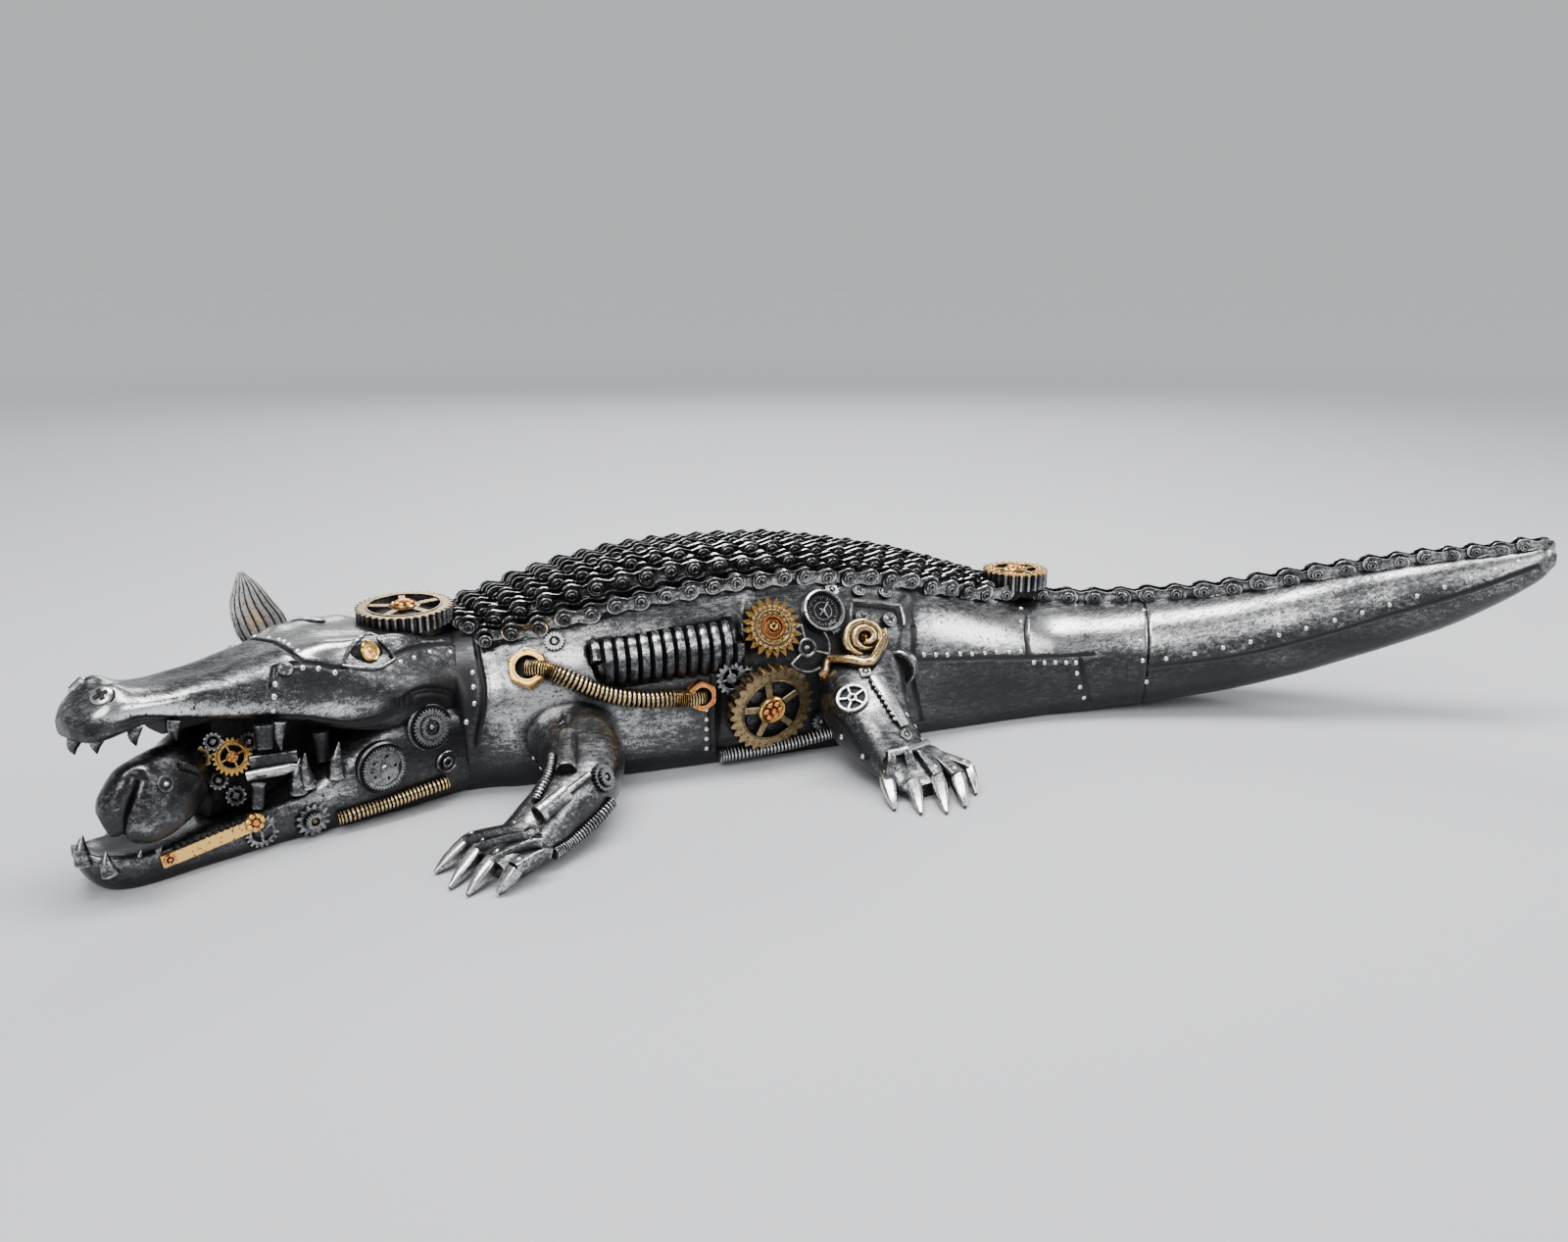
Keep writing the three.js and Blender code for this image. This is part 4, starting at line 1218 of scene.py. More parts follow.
# painted highlights on the fish: picture place, reach and weight
FISH_PAINTED_LIGHT = ((150, 846, 16, 8, 0.4), (182, 835, 18, 8, 0.35), (160, 776, 25, 7, 0.2))
for line, depth, width in ((MOUTH_LINE, 3.4, 1.5), (GILL_LINE, 1.2, 1.0)):
    press_seams(fish_skin, seam_tree([spots(line, fish_ground)], None), depth, width, finer=1)
for px, py, reach, height in FISH_BUMPS:
    centre = head_places(spot(px, py, fish_ground)[0])
    push(fish_skin, centre, (reach, reach, reach), height)
fish_ground = BVHTree.FromBMesh(fish_skin)
hand_worked(fish_skin, 0.3, 7)
paint_light_and_seams(fish_skin, FISH_PAINTED_LIGHT, across_head)
piece("fish_body", fish_skin, fish_steel, sharp=60, node="fish")

# %% [markdown]
# The fin is a thin blade with nine raised rays. They belong to the rule that lays out its sheet. The real
# fin is the palest part of the fish, so its finish keeps more of the paint in the grooves. Its pale paint
# is partly real and partly a painted highlight, and a second painted highlight is noted across it.

# %% Tail fin of the fish
RAYS = 9


def fin_at(u, v):
    """a thin blade with grooves between its rays"""
    row = read([(i, *station) for i, station in enumerate(FIN)], v * (len(FIN) - 1))
    turn = u * 2 * math.pi
    broad, thick = math.cos(turn), math.sin(turn)
    ray = 0.5 + 0.5 * math.cos(math.acos(max(-1, min(1, broad))) * RAYS * 2 + v * 3)
    groove = max(0, 1 - 4.5 * (1 - ray))
    swell = row[4] * math.copysign(abs(thick) ** 0.5, thick) * (1 - 0.55 * groove)
    return in_head(row[1] + broad * row[5], row[2] + swell, row[3])


fin_skin = sheet(216, 60, fin_at)
# one painted highlight across the fin
paint_light_and_seams(fin_skin, ((262, 628, 40, 50, 0.4),), across_head)
piece("fish_fin", fin_skin, fin_silver, sharp=50, node="fish")

# %% [markdown]
# Seven roller chains run down the back, and the middle one goes on to the tip of the tail. A link is
# a pair of waisted plates on edge; wide and narrow pairs take turns, with a roller and a pin where they
# meet. One plate, one roller and one pin are modelled, and stamped from pin to pin along each row. The
# broad sides of a plate are sunk a little, so that paint stays on its rim and leaves the middle dark.

# %% Chain parts
PITCH = 9.6
TAIL_PITCH = 11.6
LOBE = 3.5
WAIST = 2.1
PIN_HEIGHT = 2.1
OUTER, INNER = 3.15, 2.2
PLATE = 0.75


def link_plate():
    """a waisted plate in the XZ plane, with pins half a pitch from its middle"""
    shape = bmesh.new()
    bmesh.ops.create_circle(shape, cap_ends=True, segments=22, radius=1)
    for vert in shape.verts:
        x = vert.co.x * (PITCH / 2 + LOBE)
        past = abs(x) - PITCH / 2
        share = min(abs(x) / (PITCH / 2), 1)
        lobe = math.sqrt(max(LOBE**2 - past**2, 0))
        waist = WAIST + (LOBE - WAIST) * share**2 * (3 - 2 * share)
        z = lobe if past > 0 else waist
        vert.co = (x, -PLATE / 2, math.copysign(z, vert.co.y) if abs(vert.co.y) > 1e-4 else 0)
    extruded(shape, (0, PLATE, 0))
    bmesh.ops.recalc_face_normals(shape, faces=shape.faces)
    broad = [face for face in shape.faces if len(face.verts) > 4]
    bmesh.ops.inset_individual(shape, faces=broad, thickness=0.5, depth=-0.22)
    return stamp_of(shape)


PIN_OUTLINE = ((0, -3.6), (0.55, -3.6), (0.75, -4.1), (1.3, -4.0), (1.5, -3.6), (1.5, 3.6), (1.3, 4.0),
               (0.75, 4.1), (0.55, 3.6), (0, 3.6))
plate_stamp = link_plate()
pin_stamp = stamp_of(turned(PIN_OUTLINE, 10))
roller_stamp = stamp_of(disc(2.5, -1.8, 1.8, 10))
collar_stamp = stamp_of(rim(2.5, 0.8, 0.5, 0, 12))
print("plate faces:", len(plate_stamp.polygons))

# %% [markdown]
# The rows lie side by side on the back and draw together towards the rump, where all but the middle one
# end. Stepping one pitch at a time along the skin gives the pins, so the links keep their length where
# the back bends. A dark bed under each row hides the skin between the links.

# %% Chain rows
# along the body, then the distance of the second, third and fourth row from the ridge
ROWS = ((-160, 5, 10, 17), (-148, 7, 15, 25), (-138, 8.6, 17.6, 27.5), (-118, 10.2, 20.4, 31),
        (-100, 10.4, 20.6, 32), (-75, 10.3, 20.6, 31.5), (-50, 10.2, 20.2, 29.5), (-30, 10, 19.5, 28.5),
        (-10, 9.5, 18.5, 27), (10, 9, 17.5, 25), (25, 8.6, 17, 25), (40, 8, 16, 24), (60, 6.6, 13.2, 19),
        (78, 5, 9, 13))
ROW_ENDS = ((-157, 283), (-156, 78), (-154, 74), (-151, 66))
BED_STEPS = 60
RUMP = 88  # from here on the one chain of the tail has longer links


def row_place(x, row):
    """a point of the skin under a row, and the way the chain stands there: nearly upright"""
    arc = read(ROWS, x)[abs(row)] * math.copysign(1, row) if row else 0
    at, out = on_back(x, arc)
    return at, (out * 0.3 + UP * 0.7).normalized()


def tail_size(x):
    """the chain is smaller towards the tip of the tail"""
    return min(1, 0.72 + (290 - x) / 330) if x > 100 else 1


plates, pins, rollers = bmesh.new(), bmesh.new(), bmesh.new()
link_count = 0
rails = bmesh.new()
for row in range(-3, 4):
    x, stop = ROW_ENDS[abs(row)]
    bed = []
    for i in range(BED_STEPS + 1):
        bed_x = x + (stop - x) * i / BED_STEPS
        at, out = row_place(bed_x, row)
        bed.append((*(at - out * 2.2), 2.7 * tail_size(bed_x), 3.4 * tail_size(bed_x)))
    add(rails, limb(bed, 6, 12, 2 * BED_STEPS))
    places = [(x, *row_place(x, row))]
    while x < stop:
        reach = PITCH if x < RUMP else TAIL_PITCH * tail_size(x)
        while (row_place(x, row)[0] - places[-1][1]).length < reach:
            x += 0.4
        places.append((x, *row_place(x, row)))
    for i, (x, at, out) in enumerate(places):
        size = tail_size(x)
        forward = (places[min(i + 1, len(places) - 1)][1] - places[max(i - 1, 0)][1]).normalized()
        centre = at + out * PIN_HEIGHT * size
        seat = standing(centre, out.cross(forward), forward) @ Matrix.Diagonal((size, size, size, 1))
        stamp(pins, pin_stamp, seat)
        stamp(rollers, roller_stamp, seat)
        for face_side in (1, -1):
            flip = Matrix.Rotation(0 if face_side == 1 else math.pi, 4, "X")
            stamp(pins, collar_stamp, seat @ flip @ Matrix.Translation((0, 0, OUTER + PLATE / 2 - 0.1)))
        if i + 1 < len(places):
            next_at, next_out = places[i + 1][1:]
            gap = (next_at - at).length
            middle = (centre + next_at + next_out * PIN_HEIGHT * size) / 2
            run = standing(middle, (out + next_out) / 2, next_at - at)
            spread = OUTER if i % 2 else INNER
            fitted = Matrix.Diagonal((gap / PITCH, size, size, 1))
            for face_side in (1, -1):
                stamp(plates, plate_stamp, run @ fitted @ Matrix.Translation((0, face_side * spread, 0)))
            link_count += 1
piece("chain_plates", plates, chain_silver, sharp=30)
piece("chain_pins", pins, silver, sharp=35)
piece("chain_rollers", rollers, soot, sharp=35)
piece("chain_beds", rails, soot, sharp=35)
print("links:", link_count)

# %% [markdown]
# The works on the flank are assembled like a kit. Each part is built flat, round its own axis, and then
# set on the skin where the picture shows it. Parts of one kit that share a finish become one piece. A
# finder turns a point of the picture into its place on a skin, or into the place of its twin.

# %% Kits of parts
def put(kit, finish, shape, place=Matrix.Identity(4)):
    """adds a part to a kit, among the parts of its finish"""
    add(kit.setdefault(finish.name, bmesh.new()), shape, place)


def done(name, kit, node="crocodile", across=None):
    """makes the pieces of a kit; across also sets a mirrored copy on the figure's other side"""
    for finish_name, shape in kit.items():
        if across:
            far = shape.copy()
            for vert in far.verts:
                vert.co = across(vert.co, UP)[0]
            bmesh.ops.reverse_faces(far, faces=far.faces)
            add(shape, far)
        piece(f"{name}_{finish_name}", shape, bpy.data.materials[finish_name], 35, node)


def finder(twin, *grounds):
    """turns a picture point into a place on these skins, or into the place of its twin"""
    return lambda px, py: twin(*spot(px, py, *grounds))


def proud_line(pixels, rise, find=spot):
    """a line of points that stand so far off a skin"""
    return [at + out * rise for at, out in (find(px, py) for px, py in pixels)]


print("kits, finders and proud lines are ready")

# %% [markdown]
# The same few parts come back on the flank, the cheek and the legs: spokes, rings of beads, hubs, spoked
# wheels, six-sided nuts and screws with a cross. Each has a helper that takes its measures.

# %% Wheels, nuts and screws
def spokes(count, inner, outer, width, low, high, turn=0.0):
    """flat bars from a hub to a rim"""
    shape = bmesh.new()
    middle = Matrix.Translation(((inner + outer) / 2, 0, (low + high) / 2))
    for i in range(count):
        bar = block((outer - inner, width, high - low), 0.2)
        add(shape, bar, Matrix.Rotation(2 * math.pi * i / count + turn, 4, "Z") @ middle)
    return shape


def ball_ring(count, ring_radius, ball_radius, height, flat=0.8):
    """low domes in a circle"""
    shape = bmesh.new()
    dome = stamp_of(knob(ball_radius, ball_radius * flat, 8))
    for i in range(count):
        angle = 2 * math.pi * i / count
        at = (ring_radius * math.cos(angle), ring_radius * math.sin(angle), height)
        stamp(shape, dome, Matrix.Translation(at))
    return shape


def rosette(kit, place, radius, height, dish, balls):
    """a hub: a dish with six balls round a seventh"""
    outline = ((0, height - 2), (radius, height - 2), (radius, height), (radius * 0.9, height + 0.5),
               (radius * 0.78, height + 0.1), (0, height + 0.1))
    put(kit, dish, turned(outline, 24), place)
    put(kit, balls, ball_ring(6, radius * 0.52, radius * 0.24, height + 0.05), place)
    put(kit, balls, knob(radius * 0.26, radius * 0.36, 10, height + 0.05), place)


def spoked_wheel(kit, place, teeth, tip, root, high, finish, windows, hub, face, turn, low=-1.0):
    """a toothed wheel with windows between its spokes; hub and face are shares of the root radius"""
    hub, inner = root * hub, root * face
    bars = spokes(windows, hub * 0.6, inner + root * 0.04, root * 0.17, high - 1.2, high - 0.1, turn)
    boss = ((0, low), (hub, low), (hub, high - 0.1), (hub * 0.85, high + 0.2), (0, high + 0.2))
    put(kit, finish, toothed_ring(teeth, tip, root, inner, low, high), place)
    put(kit, finish, rim(inner + 0.5, 0.8, 0.4, high - 0.1, 48), place)
    put(kit, finish, bars, place)
    put(kit, finish, turned(boss, 24), place)


def hex_nut(radius, hole, height, low=-1.5):
    """a six-sided nut with softened corners, a hole and a raised washer face"""
    shape = bmesh.new()
    outer = bmesh.ops.create_circle(shape, segments=24, radius=radius)["verts"]
    for vert in outer:
        angle = math.atan2(vert.co.y, vert.co.x)
        past = (angle + math.pi / 6) % (math.pi / 3) - math.pi / 6
        vert.co *= min(math.cos(math.pi / 6) / math.cos(past), 0.965)
    bmesh.ops.create_circle(shape, segments=24, radius=hole)
    bmesh.ops.bridge_loops(shape, edges=shape.edges[:])
    extruded(shape, (0, 0, height - low))
    bmesh.ops.translate(shape, vec=(0, 0, low), verts=shape.verts)
    bmesh.ops.recalc_face_normals(shape, faces=shape.faces)
    top = [edge for edge in shape.edges if all(abs(vert.co.z - height) < 0.01 for vert in edge.verts)
           and len(edge.link_faces) == 2 and edge.calc_face_angle(0) > 0.5]
    bmesh.ops.bevel(shape, geom=top, offset=0.6, affect="EDGES", segments=2, profile=0.5, material=-1)
    return shape


def cross_screw(kit, place, radius, height, finish, slot_finish):
    """a round head with a cross cut in it"""
    head = ((0, -0.8), (radius, -0.8), (radius, height * 0.6), (radius * 0.82, height), (0, height * 1.05))
    put(kit, finish, turned(head, 20), place)
    put(kit, slot_finish, rim(radius * 1.1, radius * 0.2, height * 0.35, -0.8, 24), place)
    for angle in (0.4, 0.4 + math.pi / 2):
        on_top = Matrix.Translation((0, 0, height * 1.02)) @ Matrix.Rotation(angle, 4, "Z")
        put(kit, slot_finish, block((radius * 1.35, radius * 0.42, 0.6), 0.05, on_top), place)


print("wheels, nuts and screws are ready")

# %% [markdown]
# Two big flat wheels crown the neck and the rump. Their toothed sides are dark, as the real ones are,
# and a thin gilded plate with the same teeth lies on top.

# %% Wheels on the neck and the rump
NECK_WHEEL, NECK_LEAN = (-173.5, -9, 61), 0.05
RUMP_WHEEL = (88, -7, 53.5)
crown = {}
neck_place = Matrix.Translation(NECK_WHEEL) @ Matrix.Rotation(NECK_LEAN, 4, "X")
put(crown, dark_steel, toothed_ring(38, 17.4, 15.9, 13.2, 0, 5.2), neck_place)
put(crown, dark_plate, disc(15, -3, 1.8, 40), neck_place)
spoked_wheel(crown, neck_place, 38, 17.6, 16.1, 5.9, old_gold, windows=5, hub=0.36, face=0.83, turn=0.35,
             low=5.2)
rosette(crown, neck_place, 4.9, 6.3, gold, copper)
done("neck_wheel", crown)
crown = {}
rump_place = Matrix.Translation(RUMP_WHEEL)
put(crown, dark_steel, toothed_ring(26, 14.2, 12.4, 9.6, -1.5, 5.2), rump_place)
put(crown, soot, disc(11, -5, 4, 40), rump_place)
spoked_wheel(crown, rump_place, 26, 14.4, 12.6, 5.8, gold, windows=5, hub=0.42, face=0.74, turn=0.1, low=5.2)
put(crown, gold, ball_ring(18, 10.9, 0.75, 5.8), rump_place)
rosette(crown, rump_place, 4.6, 6.0, gold, copper)
done("rump_wheel", crown)

# %% [markdown]
# On the flank the wheels lie on the slope of the skin, so each is set square to the skin where it sits.

# %% Wheels on the flank
def seat_at(px, py, sink=0.0, lean=Vector((0, 0, 0))):
    """a place on the flank, square to the skin unless it leans"""
    at, out = spot(px, py)
    return standing(at - out * sink, out + lean)


works = {}
big = seat_at(783, 719, -1.0, lean=Vector((0.14, 0, -0.2)))
spoked_wheel(works, big, 28, 17.8, 16.3, 3.6, old_gold, windows=5, hub=0.36, face=0.76, turn=0.5)
put(works, dark_plate, disc(14.5, -3, 0.9, 40), big)
for i in range(5):
    window = Matrix.Rotation(0.5 + (i + 0.5) * 2 * math.pi / 5, 4, "Z") @ Matrix.Translation((8.2, 0, 0))
    put(works, dark_plate, turned(((0, 0.6), (3.3, 0.9), (2.6, 1.6), (0, 2.0)), 20), big @ window)
rosette(works, big, 5.6, 4.1, gold, copper)
done("big_wheel", works, across=across_body)

works = {}
star = seat_at(787, 641, 0.5)
put(works, gold, toothed_ring(20, 12.4, 9.2, 4.2, 0.6, 2.0, pointed=True), star)
put(works, gold, toothed_ring(20, 9.8, 8.6, 4.2, 1.8, 3.0), star)
put(works, brass, ball_ring(24, 8.2, 0.85, 2.9), star)
put(works, brass, rim(7.1, 0.8, 1.2, 2.6), star)
put(works, brass, ball_ring(15, 5.7, 0.8, 2.9), star)
put(works, soot, disc(9.5, -2, 1.6, 32), star)
put(works, copper, rim(4.7, 0.9, 1.6, 2.2), star)
put(works, copper, turned(((0, 1), (3.9, 1), (3.9, 2.7), (2.6, 3.0), (0, 3.0)), 24), star)
put(works, copper, rim(2.7, 0.6, 0.9, 2.8, 20), star)
put(works, gold, hex_nut(1.9, 0.6, 4.4, 2.5), star)
done("star_wheel", works, across=across_body)

# %% [markdown]
# The gauge has a bright bezel and a dark sunk dial with plain ticks and two hands.

# %% Gauge
works = {}
dial = seat_at(839, 624, 0.6)
BEZEL = ((7.0, 0.8), (7.3, 2.8), (7.9, 3.6), (8.6, 3.2), (8.9, 1.6), (8.7, -2), (6.9, -2))
put(works, silver, turned(BEZEL, 48, closed=True), dial)
put(works, soot, turned(((0, -1), (7.4, -1), (7.4, 1.5), (6.6, 1.2), (0, 1.3)), 40), dial)
for i in range(36):
    reach = 0.9 if i % 3 else 1.5
    tick = Matrix.Rotation(i * math.pi / 18, 4, "Z") @ Matrix.Translation((6.3 - reach / 2, 0, 1.4))
    put(works, dark_steel, block((reach, 0.26, 0.5), 0.05), dial @ tick)
put(works, dark_steel, rim(3.9, 0.45, 0.4, 1.2, 32), dial)
for angle, reach in ((0.9, 5.0), (-1.0, 3.6), (2.4, 2.0), (3.9, 2.6)):
    hand = Matrix.Rotation(angle, 4, "Z") @ Matrix.Translation((reach / 2 - 0.3, 0, 1.75))
    put(works, silver, block((reach, 0.5, 0.35), 0.08), dial @ hand)
put(works, silver, knob(0.9, 0.9, 12, 1.6), dial)
done("gauge", works, across=across_body)

# %% [markdown]
# Below the gauge lies a wheel that is worn down to a ring, three spokes and three bows. Small cogs fill
# the corners between the big wheels.

# %% Skeleton wheel and small cogs
works = {}
bare = seat_at(823, 661, 0.2)
FIRST_SPOKE = 0.15 - math.pi / 6
BOW = 9.3
put(works, dark_steel, rim(3.9, 1.3, 1.6, 0.2, 24), bare)
put(works, silver, knob(1.3, 1.0, 10, 0.4), bare)
put(works, soot, disc(3.6, -1, 0.7), bare)
put(works, silver, spokes(3, 3.6, 9.4, 0.8, 0.6, 1.5, FIRST_SPOKE), bare)
for i in range(3):
    angles = [FIRST_SPOKE + i * 2 * math.pi / 3 + t for t in (0, 0.35, 0.7, 1.05, 1.4)]
    bow = [Vector((BOW * math.cos(angle), BOW * math.sin(angle), 1.1)) for angle in angles]
    put(works, silver, hose(bow, 0.55, 6, 16), bare)
small, tiny = seat_at(746, 692, 0.2), seat_at(762, 690, 0.2)
spoked_wheel(works, small, 16, 6.4, 5.3, 1.8, dark_steel, windows=4, hub=0.4, face=0.78, turn=0.2)
spoked_wheel(works, tiny, 12, 4.2, 3.3, 1.6, dark_steel, windows=3, hub=0.45, face=0.78, turn=0.8)
COGS = ((812, 690, 12, 3.6), (850, 640, 10, 2.8), (838, 735, 14, 4.2), (848, 603, 12, 3.0))
for px, py, teeth, size in COGS:
    cog = seat_at(px, py)
    put(works, dark_steel, toothed_ring(teeth, size, size * 0.82, size * 0.5, -0.5, 1.3), cog)
    put(works, dark_plate, turned(((0, -1), (size * 0.6, -1), (size * 0.6, 0.8), (0, 1.0)), 18), cog)
    put(works, silver, knob(size * 0.25, 0.8, 10, 0.9), cog)
done("skeleton_wheels", works, across=across_body)

# %% [markdown]
# Behind the coil a square plate is screwed down at its corners, with a flat bar over it. An open port
# looks backwards behind the thigh, and a knurled screw sits beside the shoulder nut.

# %% Screwed plate, port and loose screws
works = {}
for px, py in ((876, 602), (903, 604), (880, 630), (908, 632)):
    seat = seat_at(px, py, 0.2)
    put(works, dark_steel, rim(2.9, 0.6, 1.1, -0.5, 20), seat)
    cross_screw(works, seat, 2.1, 1.0, silver, soot)
PLATE_EDGES = (((870, 613), (894, 615), (918, 618), 0.9), ((869, 616), (868, 630), (867, 644), 0.6),
               ((918, 618), (921, 628), (922, 638), 0.6))
for *line, thick in PLATE_EDGES:
    put(works, silver, hose(proud_line(line, 0.3), thick, 8, 24))
port_at, port_out = spot(921, 681)
port = standing(port_at - port_out * 1.5, port_out * 0.75 - Vector((0.75, 0, 0)))
put(works, silver, rim(7.2, 1.5, 4.6, -1, 32), port)
put(works, dark_steel, rim(5.6, 0.8, 4.0, -1, 32), port)
put(works, soot, disc(5.6, -1, 1.6, 28), port)
knurled = seat_at(566, 655, 0.3)
put(works, dark_steel, toothed_ring(18, 3.8, 3.2, 2.0, -0.8, 1.4), knurled)
put(works, soot, disc(2.6, -0.5, 0.7, 18), knurled)
put(works, silver, knob(1.4, 1.2, 12, 0.6), knurled)
done("screwed_plate", works, across=across_body)

# %% [markdown]
# The coil is one brass wire wound up on itself, and its end runs over the thigh into a copper cap.

# %% Brass coil
works = {}
coil = seat_at(879, 651, 0.6)
TURNS, FLATTENED = 2.4, 0.86
wound = []
for i in range(41):
    share = i / 40
    angle = -2.2 + share * TURNS * 2 * math.pi
    radius = 2.3 + 7.2 * share
    across = radius * FLATTENED * math.sin(angle)
    wound.append(coil @ Vector((radius * math.cos(angle), across, 5.4 - 3.2 * share)))
lead = wound[-3:-1]
for px, py, rise in ((888, 679, 2.2), (868, 678, 2.4), (850, 677, 2.4), (841, 683, 2.0), (841, 690, 1.5)):
    at, out = spot(px, py, body_ground, hind_ground)
    lead.append(at + out * rise)
put(works, brass, hose(wound, lambda share: 1.5 + 0.45 * share, 12, 150))
put(works, brass, hose(lead, 1.9, 12, 80))
put(works, old_gold, turned(((0, -1.5), (8.2, -1.5), (8.6, 0.2), (6.5, 1.6), (0, 3.4)), 32),
    coil @ Matrix.Diagonal((1, FLATTENED, 1, 1)))
put(works, copper, ball_ring(5, 1.2, 0.7, 3.6), coil)
put(works, copper, knob(1.0, 1.0, 10, 3.8), coil)
cap = standing(at - out, out) @ Matrix.Translation((0.8, 0, 0))
put(works, copper, turned(((0, -1), (2.8, -1), (2.9, 1.4), (2.2, 2.2), (1.2, 2.4), (0, 2.0)), 16), cap)
put(works, copper, ball_ring(6, 2.0, 0.8, 1.6), cap)
done("brass_coil", works, across=across_body)

# %% [markdown]
# The fat spring lies in a vent under the back. It is a helix of heavy wire, sunk to half its height, so
# that only the front of each turn shows.

# %% Spring in its vent
works = {}
spring_from, spring_out = spot(608, 677)
spring_to, spring_end_out = spot(753, 656)
COILS, STEPS = 12, 12
SPRING_RADIUS, WIRE, SUNK = 9.6, 2.2, 6.8
axis = (spring_to - spring_from).normalized()
middle_out = ((spring_out + spring_end_out) / 2).normalized()
middle_up = middle_out.cross(axis).normalized()
if middle_up.z < 0:
    middle_up = -middle_up
helix = []
for i in range(COILS * STEPS + 1):
    angle = i / STEPS * 2 * math.pi
    centre = spring_from.lerp(spring_to, i / (COILS * STEPS)) - middle_out * SUNK
    round_it = middle_out * (SPRING_RADIUS * math.cos(angle)) + middle_up * (SPRING_RADIUS * math.sin(angle))
    helix.append(centre + round_it)
put(works, spring_steel, hose(helix, WIRE, 10, COILS * 36, lift=axis))
done("vent_spring", works, across=across_body)

# %% [markdown]
# Hoses are tubes with a swelling for each ring. The brass one hangs from a big nut at the shoulder to a
# nut at mid body, and grows a little where it leaves the first. A silver one runs along the belly.

# %% Hoses and nuts of the flank
HOSE_PATH = ((540, 683), (553, 684), (566, 687), (594, 699), (623, 708), (655, 712), (685, 711), (700, 711),
             (717, 709))
BELLY_PATH = ((733, 768), (770, 762), (810, 754), (848, 744))
works = {}
shoulder = seat_at(539, 683, 0.4)
put(works, gold, hex_nut(7.9, 4.6, 4.3), shoulder)
put(works, gold, rim(5.3, 0.9, 4.5, 0, 32), shoulder)
put(works, soot, disc(4.8, -1, 1.2), shoulder)
waist = seat_at(714, 708, 0.2)
put(works, copper, hex_nut(6.2, 3.9, 4.6), waist)
put(works, copper, rim(4.4, 0.9, 4.9, 0, 28), waist)
line = proud_line(HOSE_PATH, 3.0)
line[0] -= spot(*HOSE_PATH[0])[1] * 2.6
line[-1] -= spot(*HOSE_PATH[-1])[1] * 1.0
swollen = lambda share: 3.4 + 0.9 * math.exp(-((share / 0.09) ** 2))
put(works, brass, ribbed(line, swollen, 54, 16, 0.4))
put(works, bright_silver, ribbed(proud_line(BELLY_PATH, 1.6), 2.8, 34, 14, 0.45))
done("flank_hose", works, across=across_body)

# %% [markdown]
# Rivets run beside every seam. One low dome is modelled and stamped at each spot of the picture, and
# again at its twin on the hidden side, so the far flank is as well built as the near one.

# %% Rivets of the body
BODY_RIVETS = ((482, 686), (483, 701), (484, 718), (476, 737), (469, 752), (721, 724), (721, 734),
               (721, 744), (721, 754), (721, 764), (943, 668), (955, 668), (967, 668), (980, 667),
               (992, 667), (1005, 666), (1017, 665), (1030, 665), (1042, 664), (1042, 620), (1042, 634),
               (1042, 648), (1055, 676), (1066, 676), (1077, 676), (1088, 676), (1098, 676), (1099, 687),
               (1102, 701), (1106, 712), (1167, 622), (1165, 637), (1164, 654), (1166, 674), (1170, 696),
               (1190, 672), (1219, 667), (1248, 661), (1276, 655), (1305, 648), (1333, 641), (1362, 633),
               (1390, 625), (1418, 617), (1446, 608), (1474, 599), (1501, 590), (1526, 581), (1550, 573))
HEAD_RIVETS = ((281, 698), (280, 711), (279, 726), (309, 681), (325, 682), (342, 686), (409, 675), (423, 671),
               (439, 665), (460, 665), (284, 652), (294, 657), (303, 664), (472, 690), (474, 705), (473, 722))
FRONT_LEG_RIVETS = ((574, 748), (536, 761), (543, 774), (550, 785), (524, 840), (531, 846), (542, 855),
                    (552, 863))
HIND_LEG_RIVETS = ((926, 729), (937, 740), (947, 751), (858, 752), (880, 772))
RIVETS = ((BODY_RIVETS, body_ground, across_body), (HEAD_RIVETS, skull_ground, across_head),
          (FRONT_LEG_RIVETS, leg_ground, over), (HIND_LEG_RIVETS, hind_ground, over))
dome = stamp_of(knob(1.15, 0.95, 9, -0.4))
rivets = bmesh.new()
for pixels, skin_ground, to_far_side in RIVETS:
    for px, py in pixels:
        at, out = spot(px, py, skin_ground)
        for where, way in ((at, out), to_far_side(at, out)):
            stamp(rivets, dome, standing(where, way))
for at, out in bolt_places:
    stamp(rivets, dome, standing(at, out))
piece("rivets", rivets, bright_silver, sharp=50)

# %% [markdown]
# The jaws are full of teeth. They stand inside the mouth, where a ray meets no skin at the right depth.
# So each is put on an upright plane of the head, at a chosen distance from its middle.

# %% Teeth
def in_mouth(px, py, near):
    """the point of a picture ray that lies so far to the near side of the head's middle"""
    way = sight(px, py)
    reach = (near - (EYE - HEAD_FROM).dot(HEAD_NEAR)) / way.dot(HEAD_NEAR)
    return EYE + way * reach


BENT = HEAD_ALONG * 0.6
INSIDE = 4  # a tooth nearer to the head's middle than this has no twin


def fang(root, tip, radius):
    """a tooth that is bent a little backwards"""
    middle = root.lerp(tip, 0.5) + BENT
    sizes = ((root, radius), (middle, radius * 0.72), (tip, radius * 0.1))
    add(teeth, limb([(*at, size, size) for at, size in sizes], 2, 12, 14))


def to_far_half(at):
    """the same place in the far half of the head"""
    return across_head(at, UP)[0]


